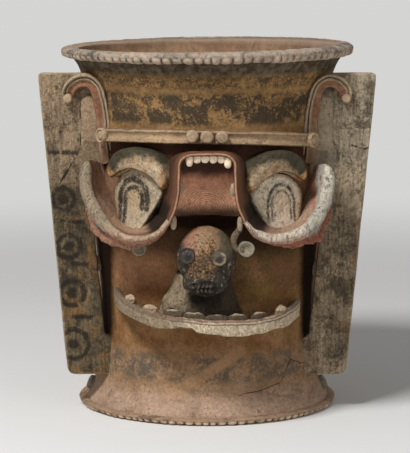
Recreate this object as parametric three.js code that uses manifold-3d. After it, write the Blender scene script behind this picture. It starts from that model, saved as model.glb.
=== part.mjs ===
// A fired clay funerary urn: a flaring cylinder with side flanges and a gaping animal face.
// Millimetres, +Z up. The origin is the centre of the flat underside and the face looks along -Y.
import * as THREE from 'three';
import { mergeVertices } from 'three/addons/utils/BufferGeometryUtils.js';
import Module from 'manifold-3d';

const wasm = await Module();
wasm.setup();

// Every joint between two pieces of clay keeps this gap.
const seam = 0.3;
const weld = 0.0005;
const wallFacets = 60;

// The vessel, from the floor up.
const floorThickness = 14;
const wallThickness = 11;
const footRadius = 172;
const footBandHeight = 9;
const footFlareRadius = 164;
const footFlareHeight = 20;
const footNarrowRadius = 157.5;
const footNarrowHeight = 33;
const footHeight = 46;
const ankleRadius = 154.5;
const waistRadius = 149.5;
const waistHeight = 110;
const waistLength = 55;
const footInset = 17.5;
const cheekWallRadius = 157.5;
const cheekWallHeight = 240;
const browWallRadius = 159.5;
const browWallDrop = 35;
const bodyTopRadius = 164.5;
const bodyTop = 440;
const neckRadius = 176;
const neckRise = 25;
const throatRadius = 178.5;
const throatRise = 34;
const lipRadius = 187;
const lipDrop = 16;
const neckHeight = 60;
const rimTop = bodyTop + neckHeight;
const mouthRadius = 179;
const mouthDrop = 5;
// The rim leans: its top rises towards +X by this share of the distance from the axis.
const rimLean = 0.0136;
const leanDrop = 30;

// The pressed bands that edge the rim and the foot.
const rimBandProud = 15.6;
const rimBandDrop = 16;
const rimBandLobes = 96;
const footBandProud = 8.4;
const footBandLobes = 94;
const lobePress = 2.2;

// The side flanges: flat plates in front of the axis, joined to the wall along their inner edge.
const flangeFront = 75;
const flangeThickness = 15;
const flangeTopReach = 229.5;
const flangeFootReach = 191.5;
const flangeTopRise = 25;
const flangeTop = bodyTop + flangeTopRise;
const flangeBottom = 50;
const flangeCorner = 11;
const flangeRoot = 100;
const slotBottom = 97;
const slotTopWidth = 24;
const slotBottomWidth = 11;

// The hooked straps at the top of the flanges, with a pellet on each tip.
const crookWidth = 19;
const crookDepth = 16;
const crookRise = 7;
const crookTipRadius = 6.6;
const crookTipLength = 18;
const crookLength = 112;
const crookInset = 10.4;
const crookBrowInset = 4.8;
// How far out the wall stands where it meets the front of the flanges.
const topReach = Math.sqrt(bodyTopRadius ** 2 - flangeFront ** 2);
const browReach = Math.sqrt(browWallRadius ** 2 - flangeFront ** 2);
const crookFootX = Math.max(topReach - crookInset, browReach - crookBrowInset);
const templeWidth = 16;
const templeDepth = 5;
const templeLength = 88;
const templeReach = crookFootX + 35;
const templeBottom = flangeTop - crookLength - crookWidth / 2 + 6;

// The top of the snout's lip, from which the upper face is measured down.
const lipTop = bodyTop - 67.5;

// The headband with its discs.
const bandHeight = lipTop + 14.5;
const bandWidth = 18;
const bandDepth = 16;
const bandGutter = 4;
const bandSweep = 58;
const bandSag = 8;
const bandSideDrop = 3.5;
const bandSteps = 24;
const bandDiscRadius = 8.6;
const bandDiscSpacing = 19.4;
const bandDiscDepth = 6;
const endDiscRadius = 10;
const endDiscDepth = 5;
const endDiscAngle = 53.7;

// The eyes: domed plates that face outward on the wall, with a crescent lid over each.
const eyeAngle = 36;
const eyeHeight = lipTop - 71.5;
const eyeShift = 7;
const eyeHalfWidth = 41;
const eyeHalfHeight = 41;
const eyeFront = 11;
const eyeDome = 5;
const eyeSink = 24;
const lidFront = 23;
const lidBevel = 3;

// The snout and cheeks are one ribbon of clay that stands out from the wall.
const snoutReach = 238;
const ribbonThickness = 8;
const eyeSpread = 100;
const ribbonEdge = 4.4;
const rollThickness = 19;
const palateRecess = 36;
const palateHollow = 12;
const palateThickness = 9;
const palateHalfWidth = 52;
const palateTop = lipTop + 0.5;
const palateHeight = 89;
const palateBottom = palateTop - palateHeight;
// The gap between each flange and the wall ends a little under the cheek.
const slotTop = lipTop - 129.5;

// The lower jaw: a half-oval tray with a band round its edge.
const jawHalfWidth = 127;
const jawReach = 150;
const jawHeight = lipTop - 219.5;
const jawBandWidth = 20.5;
const jawBandThickness = 9;
const jawTrayThickness = 9;
const jawTrayDrop = 8;
const jawToothCount = 8;
const jawTilt = 0.06;
const jawUpturn = 12;
const jawSteps = 26;
const jawToothStart = -104;
const jawToothSpacing = 29;
const jawToothLength = 25;
const jawToothThickness = 11;
const jawToothRise = 8;

// The small head in the open mouth.
const headDrop = 142.5;
const headCentre = new THREE.Vector3(-1, -191, lipTop - headDrop);
const headRadii = new THREE.Vector3(39.5, 40, 42.5);
const muzzleCentre = new THREE.Vector3(-3, -215, headCentre.z - 29);
const muzzleRadii = new THREE.Vector3(26, 21, 21);
const headEyeRadius = 10.5;
const headEyeSpread = 20.5;
const headEyeRise = 6;
const headEyeShift = 4;
const bustTopHalfWidth = 33;
const bustHalfWidth = 52;
const bustBottom = jawHeight - jawTrayDrop - 6;
const bustTopHeight = headCentre.z - 24;
const bustFront = 207;
const bustDepth = 42;
const bustShift = 8;

// Pellets on the body's sides and on the foot.
const flankRadius = 11;
const flankDepth = 7;
const flankAngle = 77;
const flankHeight = 199;
const footPelletRadius = 10;
const footPelletDepth = 7;
const footPelletAngle = 85;

const sides = [
  { name: 'left', sign: -1, drop: 0, lidRise: 0, webColumn: 6 },
  { name: 'right', sign: 1, drop: 6, lidRise: 2, webColumn: 7 },
];

// Colours of the slips and of the bare clay.
const clay = { orange: 0x8f6e4b, foot: 0x86684f, neck: 0x504838, rim: 0x9c8468 };
const slip = { cream: 0xb8a586, grey: 0x857a68, red: 0x96603f, dark: 0x4a4238 };

const outerProfile = [
  [footRadius, 0],
  [footRadius, footBandHeight],
  [footFlareRadius, footFlareHeight],
  [footNarrowRadius, footNarrowHeight],
  [ankleRadius, footHeight],
  [waistRadius, waistHeight],
  [waistRadius, waistHeight + waistLength],
  [cheekWallRadius, cheekWallHeight],
  [browWallRadius, bodyTop - browWallDrop],
  [bodyTopRadius, bodyTop],
  [neckRadius, bodyTop + neckRise],
  [throatRadius, bodyTop + throatRise],
  [lipRadius, rimTop - lipDrop],
  [lipRadius, rimTop],
];

function wallRadius(z) {
  const above = outerProfile.findIndex((point) => point[1] >= z);
  const [upperRadius, upperZ] = outerProfile[Math.max(above, 1)];
  const [lowerRadius, lowerZ] = outerProfile[Math.max(above, 1) - 1];
  const share = (z - lowerZ) / (upperZ - lowerZ || 1);
  return lowerRadius + share * (upperRadius - lowerRadius);
}

function clamp01(value) {
  return Math.min(1, Math.max(0, value));
}

// Geometry helpers.
function signedVolume(positions, index) {
  const a = new THREE.Vector3();
  const b = new THREE.Vector3();
  const c = new THREE.Vector3();
  let sum = 0;
  for (let i = 0; i < index.length; i += 3) {
    a.fromArray(positions, index[i] * 3);
    b.fromArray(positions, index[i + 1] * 3);
    c.fromArray(positions, index[i + 2] * 3);
    sum += a.dot(b.cross(c));
  }
  return sum / 6;
}

// Welds a closed geometry, drops the triangles that shrink to a line and turns its faces out.
function closedGeometry(source) {
  const bare = source.clone();
  bare.deleteAttribute('normal');
  bare.deleteAttribute('uv');
  const welded = mergeVertices(bare, weld);
  const positions = welded.attributes.position.array;
  const kept = [];
  const all = welded.index.array;
  for (let i = 0; i < all.length; i += 3) {
    const [a, b, c] = [all[i], all[i + 1], all[i + 2]];
    if (a !== b && b !== c && c !== a) kept.push(a, b, c);
  }
  if (signedVolume(positions, kept) < 0) kept.reverse();
  welded.setIndex(kept);
  return welded;
}

function toSolid(geometry) {
  const welded = closedGeometry(geometry);
  return new wasm.Manifold(new wasm.Mesh({
    numProp: 3,
    vertProperties: new Float32Array(welded.attributes.position.array),
    triVerts: new Uint32Array(welded.index.array),
  }));
}

function toGeometry(solid) {
  const { vertProperties, triVerts } = solid.getMesh();
  const geometry = new THREE.BufferGeometry();
  geometry.setAttribute('position', new THREE.BufferAttribute(vertProperties, 3));
  geometry.setIndex(new THREE.BufferAttribute(triVerts, 1));
  return geometry;
}

// Cuts a piece by its neighbours and keeps the largest body that is left.
function fitted(solid, cutters) {
  const cut = cutters.reduce((left, cutter) => left.subtract(cutter), solid);
  const bodies = cut.decompose();
  return bodies.reduce((best, body) => (body.volume() > best.volume() ? body : best));
}

// Closes the end of a loft: a flat outline is cut into triangles in its own plane.
function capFaces(ring) {
  const normal = new THREE.Vector3();
  ring.forEach((point, i) => normal.add(point.clone().cross(ring[(i + 1) % ring.length])));
  normal.normalize();
  const seed = Math.abs(normal.z) < 0.9 ? new THREE.Vector3(0, 0, 1) : new THREE.Vector3(1, 0, 0);
  const right = seed.cross(normal).normalize();
  const up = normal.clone().cross(right);
  const flat = ring.map((point) => new THREE.Vector2(point.dot(right), point.dot(up)));
  return THREE.ShapeUtils.triangulateShape(flat, []);
}

// Joins matching rings of points into one closed skin, with flat ends unless it runs full circle.
function loft(rings, fullCircle = false) {
  const size = rings[0].length;
  const index = [];
  const spans = fullCircle ? rings.length : rings.length - 1;
  for (let i = 0; i < spans; i++) {
    const near = i * size;
    const far = ((i + 1) % rings.length) * size;
    for (let j = 0; j < size; j++) {
      const k = (j + 1) % size;
      index.push(near + j, near + k, far + k, near + j, far + k, far + j);
    }
  }
  if (!fullCircle) {
    const last = (rings.length - 1) * size;
    capFaces(rings[0]).forEach(([a, b, c]) => index.push(a, c, b));
    capFaces(rings[rings.length - 1]).forEach(([a, b, c]) => index.push(last + a, last + b, last + c));
  }
  const geometry = new THREE.BufferGeometry();
  const positions = rings.flat().flatMap((point) => point.toArray());
  geometry.setAttribute('position', new THREE.Float32BufferAttribute(positions, 3));
  geometry.setIndex(index);
  return closedGeometry(geometry);
}

function revolve(profile) {
  const points = profile.map(([radius, z]) => new THREE.Vector2(radius, z));
  const geometry = new THREE.LatheGeometry(points, wallFacets);
  geometry.rotateX(Math.PI / 2);
  return closedGeometry(geometry);
}

// A local frame on the wall: x runs round the wall, y runs up and z points out.
function wallFrame(degrees, height, radius) {
  const angle = THREE.MathUtils.degToRad(degrees);
  const out = new THREE.Vector3(Math.sin(angle), -Math.cos(angle), 0);
  const round = new THREE.Vector3(Math.cos(angle), Math.sin(angle), 0);
  const frame = new THREE.Matrix4().makeBasis(round, new THREE.Vector3(0, 0, 1), out);
  return frame.setPosition(out.multiplyScalar(radius).setZ(height));
}

function disc(radius, depth, frame, facets = 16) {
  const crown = depth * 0.25;
  const profile = [
    new THREE.Vector2(0, 0),
    new THREE.Vector2(radius, 0),
    new THREE.Vector2(radius, depth - crown),
    new THREE.Vector2(radius * 0.85, depth),
    new THREE.Vector2(0, depth),
  ];
  const geometry = new THREE.LatheGeometry(profile, facets);
  geometry.rotateX(Math.PI / 2);
  return toSolid(geometry.applyMatrix4(frame));
}

function ellipsoid(centre, radii, across = 14, down = 10) {
  const geometry = new THREE.SphereGeometry(1, across, down);
  geometry.rotateX(Math.PI / 2);
  geometry.scale(radii.x, radii.y, radii.z);
  geometry.translate(centre.x, centre.y, centre.z);
  return toSolid(geometry);
}

function smoothThrough(points, steps) {
  const curve = new THREE.CatmullRomCurve3(points, false, 'centripetal');
  return curve.getSpacedPoints(steps);
}

// Vessel.
function envelope(gap) {
  const skin = outerProfile.map(([radius, z]) => [radius + gap, z]);
  const profile = [[0, -gap], [footRadius + gap, -gap], ...skin, [0, rimTop]];
  return toSolid(revolve(profile));
}

function footSkirt() {
  return revolve([
    [footRadius, 0],
    [footRadius, footBandHeight],
    [footFlareRadius, footFlareHeight],
    [footNarrowRadius, footNarrowHeight],
    [ankleRadius, footHeight],
    [ankleRadius - wallThickness, footHeight],
    [footNarrowRadius - wallThickness, footNarrowHeight],
    [footFlareRadius - wallThickness, footFlareHeight],
    [footRadius - footInset, 0],
    [footRadius, 0],
  ]);
}

// The floor fills the foot's bore, and its edge leans as the bore does.
function floorSlab() {
  const bottom = footRadius - footInset;
  const lean = (footFlareRadius - wallThickness - bottom) / footFlareHeight;
  const top = bottom + lean * floorThickness;
  const geometry = new THREE.CylinderGeometry(top - seam, bottom - seam, floorThickness, wallFacets);
  geometry.rotateX(Math.PI / 2);
  geometry.translate(0, 0, floorThickness / 2);
  return toSolid(geometry);
}

// One course of the body's wall, between two heights.
function wallCourse(start, end) {
  const skin = outerProfile.filter(([, z]) => z > start && z < end);
  const outer = [[wallRadius(start), start], ...skin, [wallRadius(end), end]];
  const inner = outer.map(([radius, z]) => [radius - wallThickness, z]).reverse();
  return revolve([...outer, ...inner, outer[0]]);
}

// Tips the lip of a finished ring, leaving everything below the start of the lean as it was.
function leaned(geometry) {
  const position = geometry.attributes.position;
  for (let i = 0; i < position.count; i++) {
    const share = clamp01((position.getZ(i) - rimTop + leanDrop) / leanDrop);
    position.setZ(i, position.getZ(i) + rimLean * share * position.getX(i));
  }
  return geometry;
}

function neckCollar() {
  return leaned(revolve([
    [bodyTopRadius, bodyTop],
    [neckRadius, bodyTop + neckRise],
    [throatRadius, bodyTop + throatRise],
    [lipRadius, rimTop - lipDrop],
    [lipRadius, rimTop],
    [mouthRadius, rimTop - mouthDrop],
    [throatRadius - wallThickness, bodyTop + throatRise],
    [neckRadius - wallThickness, bodyTop + neckRise],
    [bodyTopRadius - wallThickness, bodyTop],
    [bodyTopRadius, bodyTop],
  ]));
}

// A strip of clay wrapped round an edge and pressed into a row of lobes.
function pressedBand(lobes, section) {
  const stations = lobes * 2;
  const rings = [];
  for (let i = 0; i < stations; i++) {
    const angle = (i / stations) * 2 * Math.PI;
    const press = i % 2 === 0 ? 0 : lobePress;
    rings.push(section(press).map(([radius, z]) => (
      new THREE.Vector3(radius * Math.cos(angle), radius * Math.sin(angle), z)
    )));
  }
  return loft(rings, true);
}

function rimBand() {
  const bottom = rimTop - rimBandDrop;
  const inner = lipRadius + seam * 2;
  const outer = lipRadius + rimBandProud;
  return leaned(pressedBand(rimBandLobes, (press) => [
    [inner, bottom],
    [outer - 4 - press, bottom + 2],
    [outer - press, (bottom + rimTop) / 2],
    [outer - 3 - press, rimTop],
    [inner, rimTop],
  ]));
}

function footBand() {
  const inner = footRadius + seam * 2;
  const outer = footRadius + footBandProud;
  return pressedBand(footBandLobes, (press) => [
    [inner, 0],
    [outer - 1.5 - press, 0],
    [outer - press, footBandHeight * 0.5],
    [outer - 3 - press, footBandHeight],
    [inner, footBandHeight],
  ]);
}

// Flanges. Slabs are drawn in front view and run from one depth to another.
function slab(shape, front, back, curveSegments = 5) {
  const geometry = new THREE.ExtrudeGeometry(shape, {
    depth: front - back,
    bevelEnabled: false,
    curveSegments,
  });
  geometry.rotateX(Math.PI / 2);
  geometry.translate(0, -back, 0);
  return toSolid(geometry);
}

function polygon(points) {
  return new THREE.Shape(points.map(([x, z]) => new THREE.Vector2(x, z)));
}

function flangeShape(sign) {
  const lean = (flangeTopReach - flangeFootReach) / (flangeTop - flangeBottom);
  const shape = new THREE.Shape();
  shape.moveTo(sign * flangeRoot, flangeBottom);
  shape.lineTo(sign * (flangeFootReach - flangeCorner), flangeBottom);
  const lowX = flangeFootReach + lean * flangeCorner;
  shape.quadraticCurveTo(sign * flangeFootReach, flangeBottom, sign * lowX, flangeBottom + flangeCorner);
  const highX = flangeTopReach - lean * flangeCorner;
  shape.lineTo(sign * highX, flangeTop - flangeCorner);
  const topX = sign * (flangeTopReach - flangeCorner);
  shape.quadraticCurveTo(sign * flangeTopReach, flangeTop, topX, flangeTop);
  shape.lineTo(sign * flangeRoot, flangeTop);
  return shape;
}

// The long gap between the flange and the wall, from the cheek down to the foot.
function slotShape(sign) {
  const wallEdge = Math.sqrt(waistRadius ** 2 - flangeFront ** 2);
  return polygon([
    [sign * flangeRoot, slotBottom],
    [sign * wallEdge, slotBottom],
    [sign * (wallEdge + slotBottomWidth), slotBottom + slotBottomWidth],
    [sign * (wallEdge + slotTopWidth), slotTop],
    [sign * flangeRoot, slotTop],
  ]);
}

function flange(side) {
  const plate = slab(flangeShape(side.sign), flangeFront, flangeFront - flangeThickness);
  const gap = slab(slotShape(side.sign), flangeFront + 1, flangeFront - flangeThickness - 1);
  return fitted(plate, [envelope(seam), gap]);
}

// Crooks.
function crookPath(side) {
  const inner = crookFootX;
  const apex = flangeTop - crookWidth / 2;
  return smoothThrough([
    [inner + 52, apex - 24],
    [inner + 49, apex - 11],
    [inner + 38, apex - 1.5],
    [inner + 26, apex],
    [inner + 15, apex - 8],
    [inner + 9, apex - 25],
    [inner + 5, apex - 50],
    [inner + 3, apex - 80],
    [inner, apex - crookLength],
  ].map(([x, z]) => new THREE.Vector3(side.sign * x, 0, z)), 18);
}

// The strap is a shallow gutter: a raised outer edge, a hollow and a flat inner strip.
function crookSolid(side, gap) {
  const path = crookPath(side);
  const half = crookWidth / 2;
  const rings = path.map((point, i) => {
    const before = path[Math.max(i - 1, 0)];
    const after = path[Math.min(i + 1, path.length - 1)];
    const along = after.clone().sub(before).normalize();
    const outward = new THREE.Vector3(-side.sign * along.z, 0, side.sign * along.x).negate();
    const bulge = crookRise * Math.sin(Math.PI * clamp01(i / path.length * 1.6));
    const section = [
      [-half - gap, 0],
      [-half - gap, crookDepth * 0.62 + bulge + gap],
      [half * 0.25 - gap, crookDepth * 0.55 + bulge + gap],
      [half * 0.5 - gap, crookDepth + bulge + gap],
      [half * 0.85, crookDepth + bulge + gap],
      [half + gap, crookDepth * 0.75 + bulge + gap],
      [half + gap, 0],
    ];
    return section.map(([n, depth]) => {
      const spot = point.clone().addScaledVector(outward, n);
      return spot.setY(-(flangeFront + seam + depth));
    });
  });
  return toSolid(loft(rings));
}

function crookTipFrame(side) {
  const tip = crookPath(side)[0];
  return wallFrame(0, 0, 0).setPosition(tip.x, -(flangeFront + seam), tip.z);
}

function crookTip(side, gap = 0) {
  return disc(crookTipRadius + gap, crookTipLength + gap, crookTipFrame(side));
}

function crook(side) {
  return fitted(crookSolid(side, 0), [crookTip(side, seam), envelope(seam)]);
}

function templeStrip(side) {
  const top = templeBottom + templeLength;
  const inner = templeReach - templeWidth - 8;
  const shape = polygon([
    [side.sign * templeReach, top - 10],
    [side.sign * (templeReach - 6), top],
    [side.sign * inner, top],
    [side.sign * inner, templeBottom],
    [side.sign * (templeReach - 4), templeBottom],
  ]);
  const front = flangeFront + seam + templeDepth;
  const strip = slab(shape, front, flangeFront + seam);
  return fitted(strip, [crookSolid(side, seam), envelope(seam), headbandSolid(seam)]);
}

// Headband.
function bandCentre(degrees) {
  const share = degrees / bandSweep;
  return bandHeight - bandSag * share ** 2 - bandSideDrop * share;
}

function headbandSolid(gap) {
  const half = bandWidth / 2 + gap;
  const rings = [];
  for (let i = 0; i <= bandSteps; i++) {
    const degrees = bandSweep * ((2 * i) / bandSteps - 1);
    const height = bandCentre(degrees);
    const front = bandDepth + gap;
    const section = [
      [-3, -half],
      [front - 2, -half],
      [front, -half + 2.5],
      [front - bandGutter, 0],
      [front, half - 2.5],
      [front - 2, half],
      [-3, half],
    ];
    rings.push(section.map(([out, up]) => (
      new THREE.Vector3(0, up, out).applyMatrix4(wallFrame(degrees, height, wallRadius(height)))
    )));
  }
  return toSolid(loft(rings));
}

function headband() {
  return fitted(headbandSolid(0), [envelope(seam), crookSolid(sides[0], seam), crookSolid(sides[1], seam)]);
}

function bandDisc(place) {
  const degrees = THREE.MathUtils.radToDeg((place * bandDiscSpacing) / (browWallRadius + bandDepth));
  const height = bandCentre(degrees) + 1;
  const seat = wallRadius(height) + bandDepth + seam;
  return disc(bandDiscRadius, bandDiscDepth, wallFrame(degrees, height, seat));
}

function endDisc(side) {
  const degrees = side.sign * endDiscAngle;
  const height = bandCentre(degrees);
  const seat = wallRadius(height) + bandDepth - 2;
  const solid = disc(endDiscRadius, endDiscDepth + 2, wallFrame(degrees, height, seat));
  return fitted(solid, [headbandSolid(seam), crookSolid(side, seam)]);
}

// Eyes.
function eyeFrame(side, radius) {
  return wallFrame(side.sign * eyeAngle, eyeHeight - side.drop, radius);
}

function eyeRing(side, scale, depth, facets = 24) {
  const frame = eyeFrame(side, wallRadius(eyeHeight) + depth);
  const ring = [];
  for (let i = 0; i < facets; i++) {
    const angle = (i / facets) * 2 * Math.PI;
    const taper = 1 + 0.1 * Math.sin(angle);
    const x = scale * eyeHalfWidth * taper * Math.cos(angle) - side.sign * eyeShift;
    ring.push(new THREE.Vector3(x, scale * eyeHalfHeight * Math.sin(angle), 0).applyMatrix4(frame));
  }
  return ring;
}

function eyeballSolid(side, gap) {
  const grow = 1 + gap / eyeHalfWidth;
  return toSolid(loft([
    eyeRing(side, grow, -eyeSink),
    eyeRing(side, grow, eyeFront - eyeDome + gap),
    eyeRing(side, grow * 0.8, eyeFront - 1 + gap),
    eyeRing(side, grow * 0.45, eyeFront + gap),
  ]));
}

function eyeball(side) {
  return fitted(eyeballSolid(side, 0), [envelope(seam), snoutSolid(seam), cheekSolid(side, seam)]);
}

// The lid is drawn on the plane of its eye, in shares of the eye's half width and half height.
// The first number runs towards the nose and the second runs up.
function lidShape(side) {
  const outline = [
    [-0.83, 0.73], [-0.73, 1.32], [-0.39, 1.59], [0.1, 1.72], [0.68, 1.66], [1.2, 1.37],
    [1.51, 0.98], [1.54, 0.63], [1.37, 0.44], [1.2, 0.59], [0.93, 0.83], [0.59, 1],
    [0.15, 1.1], [-0.24, 1.02], [-0.51, 0.83], [-0.68, 0.66],
  ];
  const points = outline.map(([u, z]) => (
    new THREE.Vector2(-side.sign * u * eyeHalfWidth, z * eyeHalfHeight + side.lidRise)
  ));
  const closed = new THREE.Shape();
  closed.moveTo(points[0].x, points[0].y);
  closed.splineThru([...points.slice(1), points[0]]);
  return closed;
}

function eyelid(side) {
  const geometry = new THREE.ExtrudeGeometry(lidShape(side), {
    depth: lidFront + eyeSink - lidBevel,
    bevelThickness: lidBevel,
    bevelSize: lidBevel,
    bevelOffset: -lidBevel,
    bevelSegments: 1,
    curveSegments: 2,
  });
  geometry.applyMatrix4(eyeFrame(side, wallRadius(eyeHeight) - eyeSink));
  const cutters = [
    envelope(seam), eyeballSolid(side, seam), headbandSolid(seam), crookSolid(side, seam),
    snoutSolid(seam), cheekSolid(side, seam),
  ];
  return fitted(toSolid(geometry), cutters);
}

// Ribbon. Each row: front x, its drop below the lip's top, how far the front edge lies behind the
// snout's tip, root x and its drop, the roll's share, and the width of the torn web under the left
// and the right cheek.
const snoutRows = [
  [0, 0, 0, 0, 10.5, 0, 0, 0],
  [26, 2.5, 1, 36, 11.5, 0, 0, 0],
  [35.5, 10.5, 2, 48, 18.5, 0, 0, 0],
  [37, 27.5, 5, 52, 31.5, 0, 0, 0],
  [38, 52.5, 8, 56, 55.5, 0, 0, 0],
  [42, 72.5, 12, 60, 75.5, 0, 0, 0],
  [49, 90.5, 16, 66, 93.5, 0, 0, 0],
];
const cheekRows = [
  [49, 90.5, 16, 66, 93.5, 0, 0, 0],
  [62, 106.5, 20, 76, 107.5, 0.05, 0, 0],
  [82, 115.5, 28, 91, 116.5, 0.15, 2, 0],
  [101, 116.5, 35, 105, 118.5, 0.3, 7, 0],
  [120, 110.5, 45, 118, 114.5, 0.5, 11, 0],
  [138, 98.5, 60, 129, 104.5, 0.75, 12, 2],
  [151, 81.5, 77, 137, 86.5, 0.95, 12, 10],
  [159.5, 62.5, 91, 142, 66.5, 1, 6, 12],
  [162, 44.5, 101, 144, 47.5, 1, 0, 0],
  [161, 27.5, 108, 145, 30.5, 0.85, 0, 0],
];
const narrowestWeb = 0.5;

// One section of the ribbon: a sheet from the wall to a rounded front edge, with a web under it.
function ribbonRing(front, root, normal, roll, web, gap) {
  const edge = ribbonEdge / 2 + roll * (rollThickness - ribbonEdge) / 2;
  const core = front.clone().setY(front.y + edge);
  const back = root.clone().sub(core).normalize();
  const neck = core.clone().addScaledVector(back, edge + 3);
  const webBack = neck.clone().addScaledVector(back, 7 + gap);
  const sheet = ribbonThickness / 2 + gap;
  const thin = Math.min(ribbonThickness / 2, edge + 1.5) + gap;
  const half = edge + gap;
  const at = (base, across, depth = 0) => (
    base.clone().addScaledVector(normal, across).add(new THREE.Vector3(0, depth, 0))
  );
  return [
    at(root, -sheet),
    at(neck, -thin),
    at(core, -half),
    at(core, -half * 0.7, -half * 0.7),
    at(core, 0, -half),
    at(core, half * 0.7, -half * 0.7),
    at(core, half),
    at(neck, thin),
    at(neck, thin + web),
    at(webBack, sheet + web),
    at(webBack, sheet),
    at(root, sheet),
  ];
}

function ribbonRings(rows, side, steps, gap) {
  const fronts = smoothThrough(rows.map((row) => (
    new THREE.Vector3(row[0], row[2] - snoutReach, lipTop - row[1])
  )), steps);
  const roots = smoothThrough(rows.map((row) => new THREE.Vector3(row[3], 0, lipTop - row[4])), steps);
  const shares = smoothThrough(rows.map((row, i) => (
    new THREE.Vector3(i, row[5], row[side.webColumn])
  )), steps);
  const rings = fronts.map((front, i) => {
    const before = fronts[Math.max(i - 1, 0)];
    const after = fronts[Math.min(i + 1, steps)];
    const normal = new THREE.Vector3(after.z - before.z, 0, before.x - after.x).normalize();
    const root = roots[i].clone();
    root.y = -Math.sqrt(Math.max(cheekWallRadius ** 2 - root.x ** 2, 0)) + 12;
    const web = Math.max(shares[i].z, narrowestWeb);
    const ring = ribbonRing(front, root, normal, clamp01(shares[i].y), web, gap);
    const sink = side.drop * clamp01((front.x - eyeSpread) / 60);
    return ring.map((point) => new THREE.Vector3(side.sign * point.x, point.y, point.z - sink));
  });
  return rings;
}

// A copy of an end section moved a little further along, so that a neighbour keeps its distance.
function beyond(last, before, distance) {
  const step = last[0].clone().sub(before[0]).normalize().multiplyScalar(distance);
  return last.map((point) => point.clone().add(step));
}

function snoutSolid(gap) {
  const [left, right] = sides.map((side) => {
    const half = ribbonRings(snoutRows, side, 11, gap);
    return gap > 0 ? [...half, beyond(half[11], half[10], 3 * gap)] : half;
  });
  return toSolid(loft([...left.slice(1).reverse(), ...right]));
}

function snout() {
  return fitted(snoutSolid(0), [envelope(seam), headbandSolid(seam)]);
}

function cheekSolid(side, gap) {
  return toSolid(loft(ribbonRings(cheekRows, side, 18, gap)));
}

function behindFlange(side) {
  const reach = flangeTopReach + 20;
  const shape = polygon([
    [side.sign * flangeRoot, flangeBottom],
    [side.sign * reach, flangeBottom],
    [side.sign * reach, flangeTop],
    [side.sign * flangeRoot, flangeTop],
  ]);
  return slab(shape, flangeFront + seam, 0);
}

// The room that the strip beside the crook takes up in front of the flange.
function templeRoom(side) {
  const shape = polygon([
    [side.sign * (templeReach + 1), templeBottom - seam],
    [side.sign * (templeReach + 1), flangeTop],
    [side.sign * flangeRoot, flangeTop],
    [side.sign * flangeRoot, templeBottom - seam],
  ]);
  return slab(shape, flangeFront + templeDepth + 2 * seam, flangeFront);
}

function cheek(side) {
  return fitted(cheekSolid(side, 0), [
    envelope(seam), snoutSolid(seam), behindFlange(side), crookSolid(side, seam), templeRoom(side),
  ]);
}

// Palate: a hollowed plate between the snout's sides.
function palate() {
  const depths = [0, 1, 3, 7, 15, 30];
  const rings = depths.map((recess, i) => {
    const height = palateTop - (i / (depths.length - 1)) * (palateTop - palateBottom);
    const front = [];
    for (let j = 0; j <= 8; j++) {
      const across = j / 4 - 1;
      const depth = snoutReach - palateRecess - recess + palateHollow * across ** 2;
      front.push(new THREE.Vector3(across * palateHalfWidth, -depth, height));
    }
    const back = front.map((point) => point.clone().setY(point.y + palateThickness)).reverse();
    return [...front, ...back];
  });
  return fitted(toSolid(loft(rings)), [snoutSolid(seam), envelope(seam)]);
}

// Teeth of the upper jaw, seated against the snout. Each row: name, x, how far it lies behind the
// snout's tip, its drop below the lip's top, and its radii.
const upperTeeth = [
  ['canine_left', -23, 9, 9.5, [4.8, 4.2, 8]],
  ['incisor_left_outer', -13, 9, 6.5, [4.4, 3.6, 6.5]],
  ['incisor_left_inner', -2.5, 9, 6.5, [4.6, 3.6, 6.5]],
  ['incisor_right_inner', 8, 9, 6.5, [4.6, 3.6, 6.5]],
  ['incisor_right_outer', 18, 9, 7, [4.4, 3.6, 6.5]],
  ['canine_right', 27, 9, 11.5, [4.8, 4.2, 8.5]],
  ['side_tooth_left', -34, 22, 46.5, [4, 5, 8]],
  ['side_tooth_right', 34, 22, 49.5, [3.6, 5, 9]],
  ['molar_left', -44, 33, 93.5, [4.5, 5, 9]],
  ['molar_right', 43, 33, 95.5, [4, 5, 9]],
];

function toothSolid([, x, recess, drop, radii], gap) {
  const size = new THREE.Vector3(...radii).addScalar(gap);
  return ellipsoid(new THREE.Vector3(x, recess - snoutReach, lipTop - drop), size, 9, 6);
}

function upperTooth(tooth) {
  const cheeks = sides.map((side) => cheekSolid(side, seam));
  return fitted(toothSolid(tooth, 0), [snoutSolid(seam), ...cheeks]);
}

// The curled fang: a hooked rod with a disc over its end.
const fangDisc = { radius: 10.5, depth: 8 };
const fangCurlRadius = 4;
const fangPlaces = [
  { side: sides[0], x: -90, front: snoutReach - 48, z: lipTop - 130.5 },
  { side: sides[1], x: 51.5, front: snoutReach - 30, z: lipTop - 129 },
];

function fangDiscSolid(place, gap) {
  const frame = wallFrame(0, 0, 0).setPosition(place.x, -(place.front - fangDisc.depth) + gap, place.z);
  return disc(fangDisc.radius + gap, fangDisc.depth + 2 * gap, frame);
}

function fangDiscPiece(place) {
  return fitted(fangDiscSolid(place, 0), [cheekSolid(place.side, seam), snoutSolid(seam)]);
}

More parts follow.
